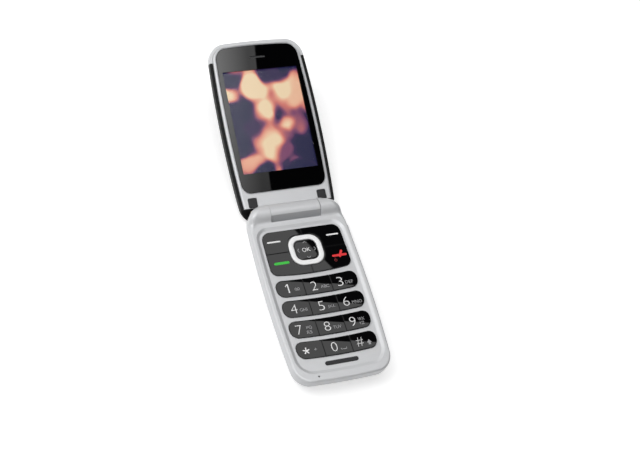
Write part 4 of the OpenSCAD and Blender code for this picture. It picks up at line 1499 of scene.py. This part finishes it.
class PHONE_OT_studio(bpy.types.Operator):
    """Sets up the floor, the soft light and the camera"""

    bl_idname = "phone.studio"
    bl_label = "Studio"

    def execute(self, context):
        mesh = bmesh.new()
        just_under = Matrix.Translation((0, 0, -0.3 * MM))
        bmesh.ops.create_grid(mesh, x_segments=2, y_segments=2, size=3.0, matrix=just_under)
        data = bpy.data.meshes.new("floor")
        mesh.to_mesh(data)
        mesh.free()
        data.materials.append(floor_paint(bpy.data.materials.new("White card")))
        floor = bpy.data.objects.new("floor", data)
        context.scene.collection.objects.link(floor)
        studio_world()
        for name, place, width, watts in (
            ("key lamp", (-0.9, 0.5, 1.1), 0.9, 7.6),
            ("top lamp", (0.1, 0.5, 1.5), 1.2, 4.8),
        ):
            lamp = bpy.data.lights.new(name, "AREA")
            lamp.size, lamp.energy = width, watts
            stand = bpy.data.objects.new(name, lamp)
            stand.location = place
            aim = MIDDLE - Vector(place)
            stand.rotation_euler = aim.to_track_quat("-Z", "Y").to_euler()
            context.scene.collection.objects.link(stand)
            stand.visible_glossy = False
        self.camera(context)
        context.scene.view_settings.view_transform = "Standard"
        return {"FINISHED"}

    def camera(self, context):
        """The camera, from its own axes and place."""
        lens = bpy.data.cameras.new("camera")
        lens.sensor_width, lens.lens = 36.0, 88.14
        lens.clip_start, lens.clip_end = 0.05, 20.0
        camera = bpy.data.objects.new("camera", lens)
        right = (0.9192461, -0.28691178, 0.26957049)
        up = (0.12961199, 0.86712738, 0.48092706)
        back = (-0.37173559, -0.40715075, 0.83429067)
        turn = Matrix((right, up, back)).transposed().to_4x4()
        camera.matrix_world = Matrix.Translation((-0.29804, -0.30450, 0.70553)) @ turn
        context.scene.collection.objects.link(camera)
        context.scene.camera = camera


class PHONE_PT_parts(bpy.types.Panel):
    """Lists the phone's parts and what can be changed"""

    bl_idname = "PHONE_PT_parts"
    bl_label = "Clamshell phone"
    bl_space_type = "VIEW_3D"
    bl_region_type = "UI"
    bl_category = "Phone"

    def draw(self, context):
        for group in (context.scene.phone_sizes, context.scene.phone_colours):
            box = self.layout.box()
            for name in group.__annotations__:
                box.prop(group, name)
        for operator in BUILD_ORDER:
            self.layout.operator(operator.bl_idname)


BUILD_ORDER = (
    PHONE_OT_keypad_housing,
    PHONE_OT_rear_housing,
    PHONE_OT_battery_cover,
    PHONE_OT_number_keys,
    PHONE_OT_navigation,
    PHONE_OT_lid_shell,
    PHONE_OT_lens_and_display,
    PHONE_OT_rubber_parts,
    PHONE_OT_dress_cad,
    PHONE_OT_studio,
)


def register():
    for kind in (PhoneSizes, PhoneColours, *BUILD_ORDER, PHONE_PT_parts):
        bpy.utils.register_class(kind)
    bpy.types.Scene.phone_sizes = PointerProperty(type=PhoneSizes)
    bpy.types.Scene.phone_colours = PointerProperty(type=PhoneColours)


def unregister():
    del bpy.types.Scene.phone_colours
    del bpy.types.Scene.phone_sizes
    for kind in (PHONE_PT_parts, *reversed(BUILD_ORDER), PhoneColours, PhoneSizes):
        bpy.utils.unregister_class(kind)


def main():
    """Builds every part in order."""
    register()
    for operator in BUILD_ORDER:
        group, name = operator.bl_idname.split(".")
        getattr(getattr(bpy.ops, group), name)()


if __name__ == "__main__":
    main()
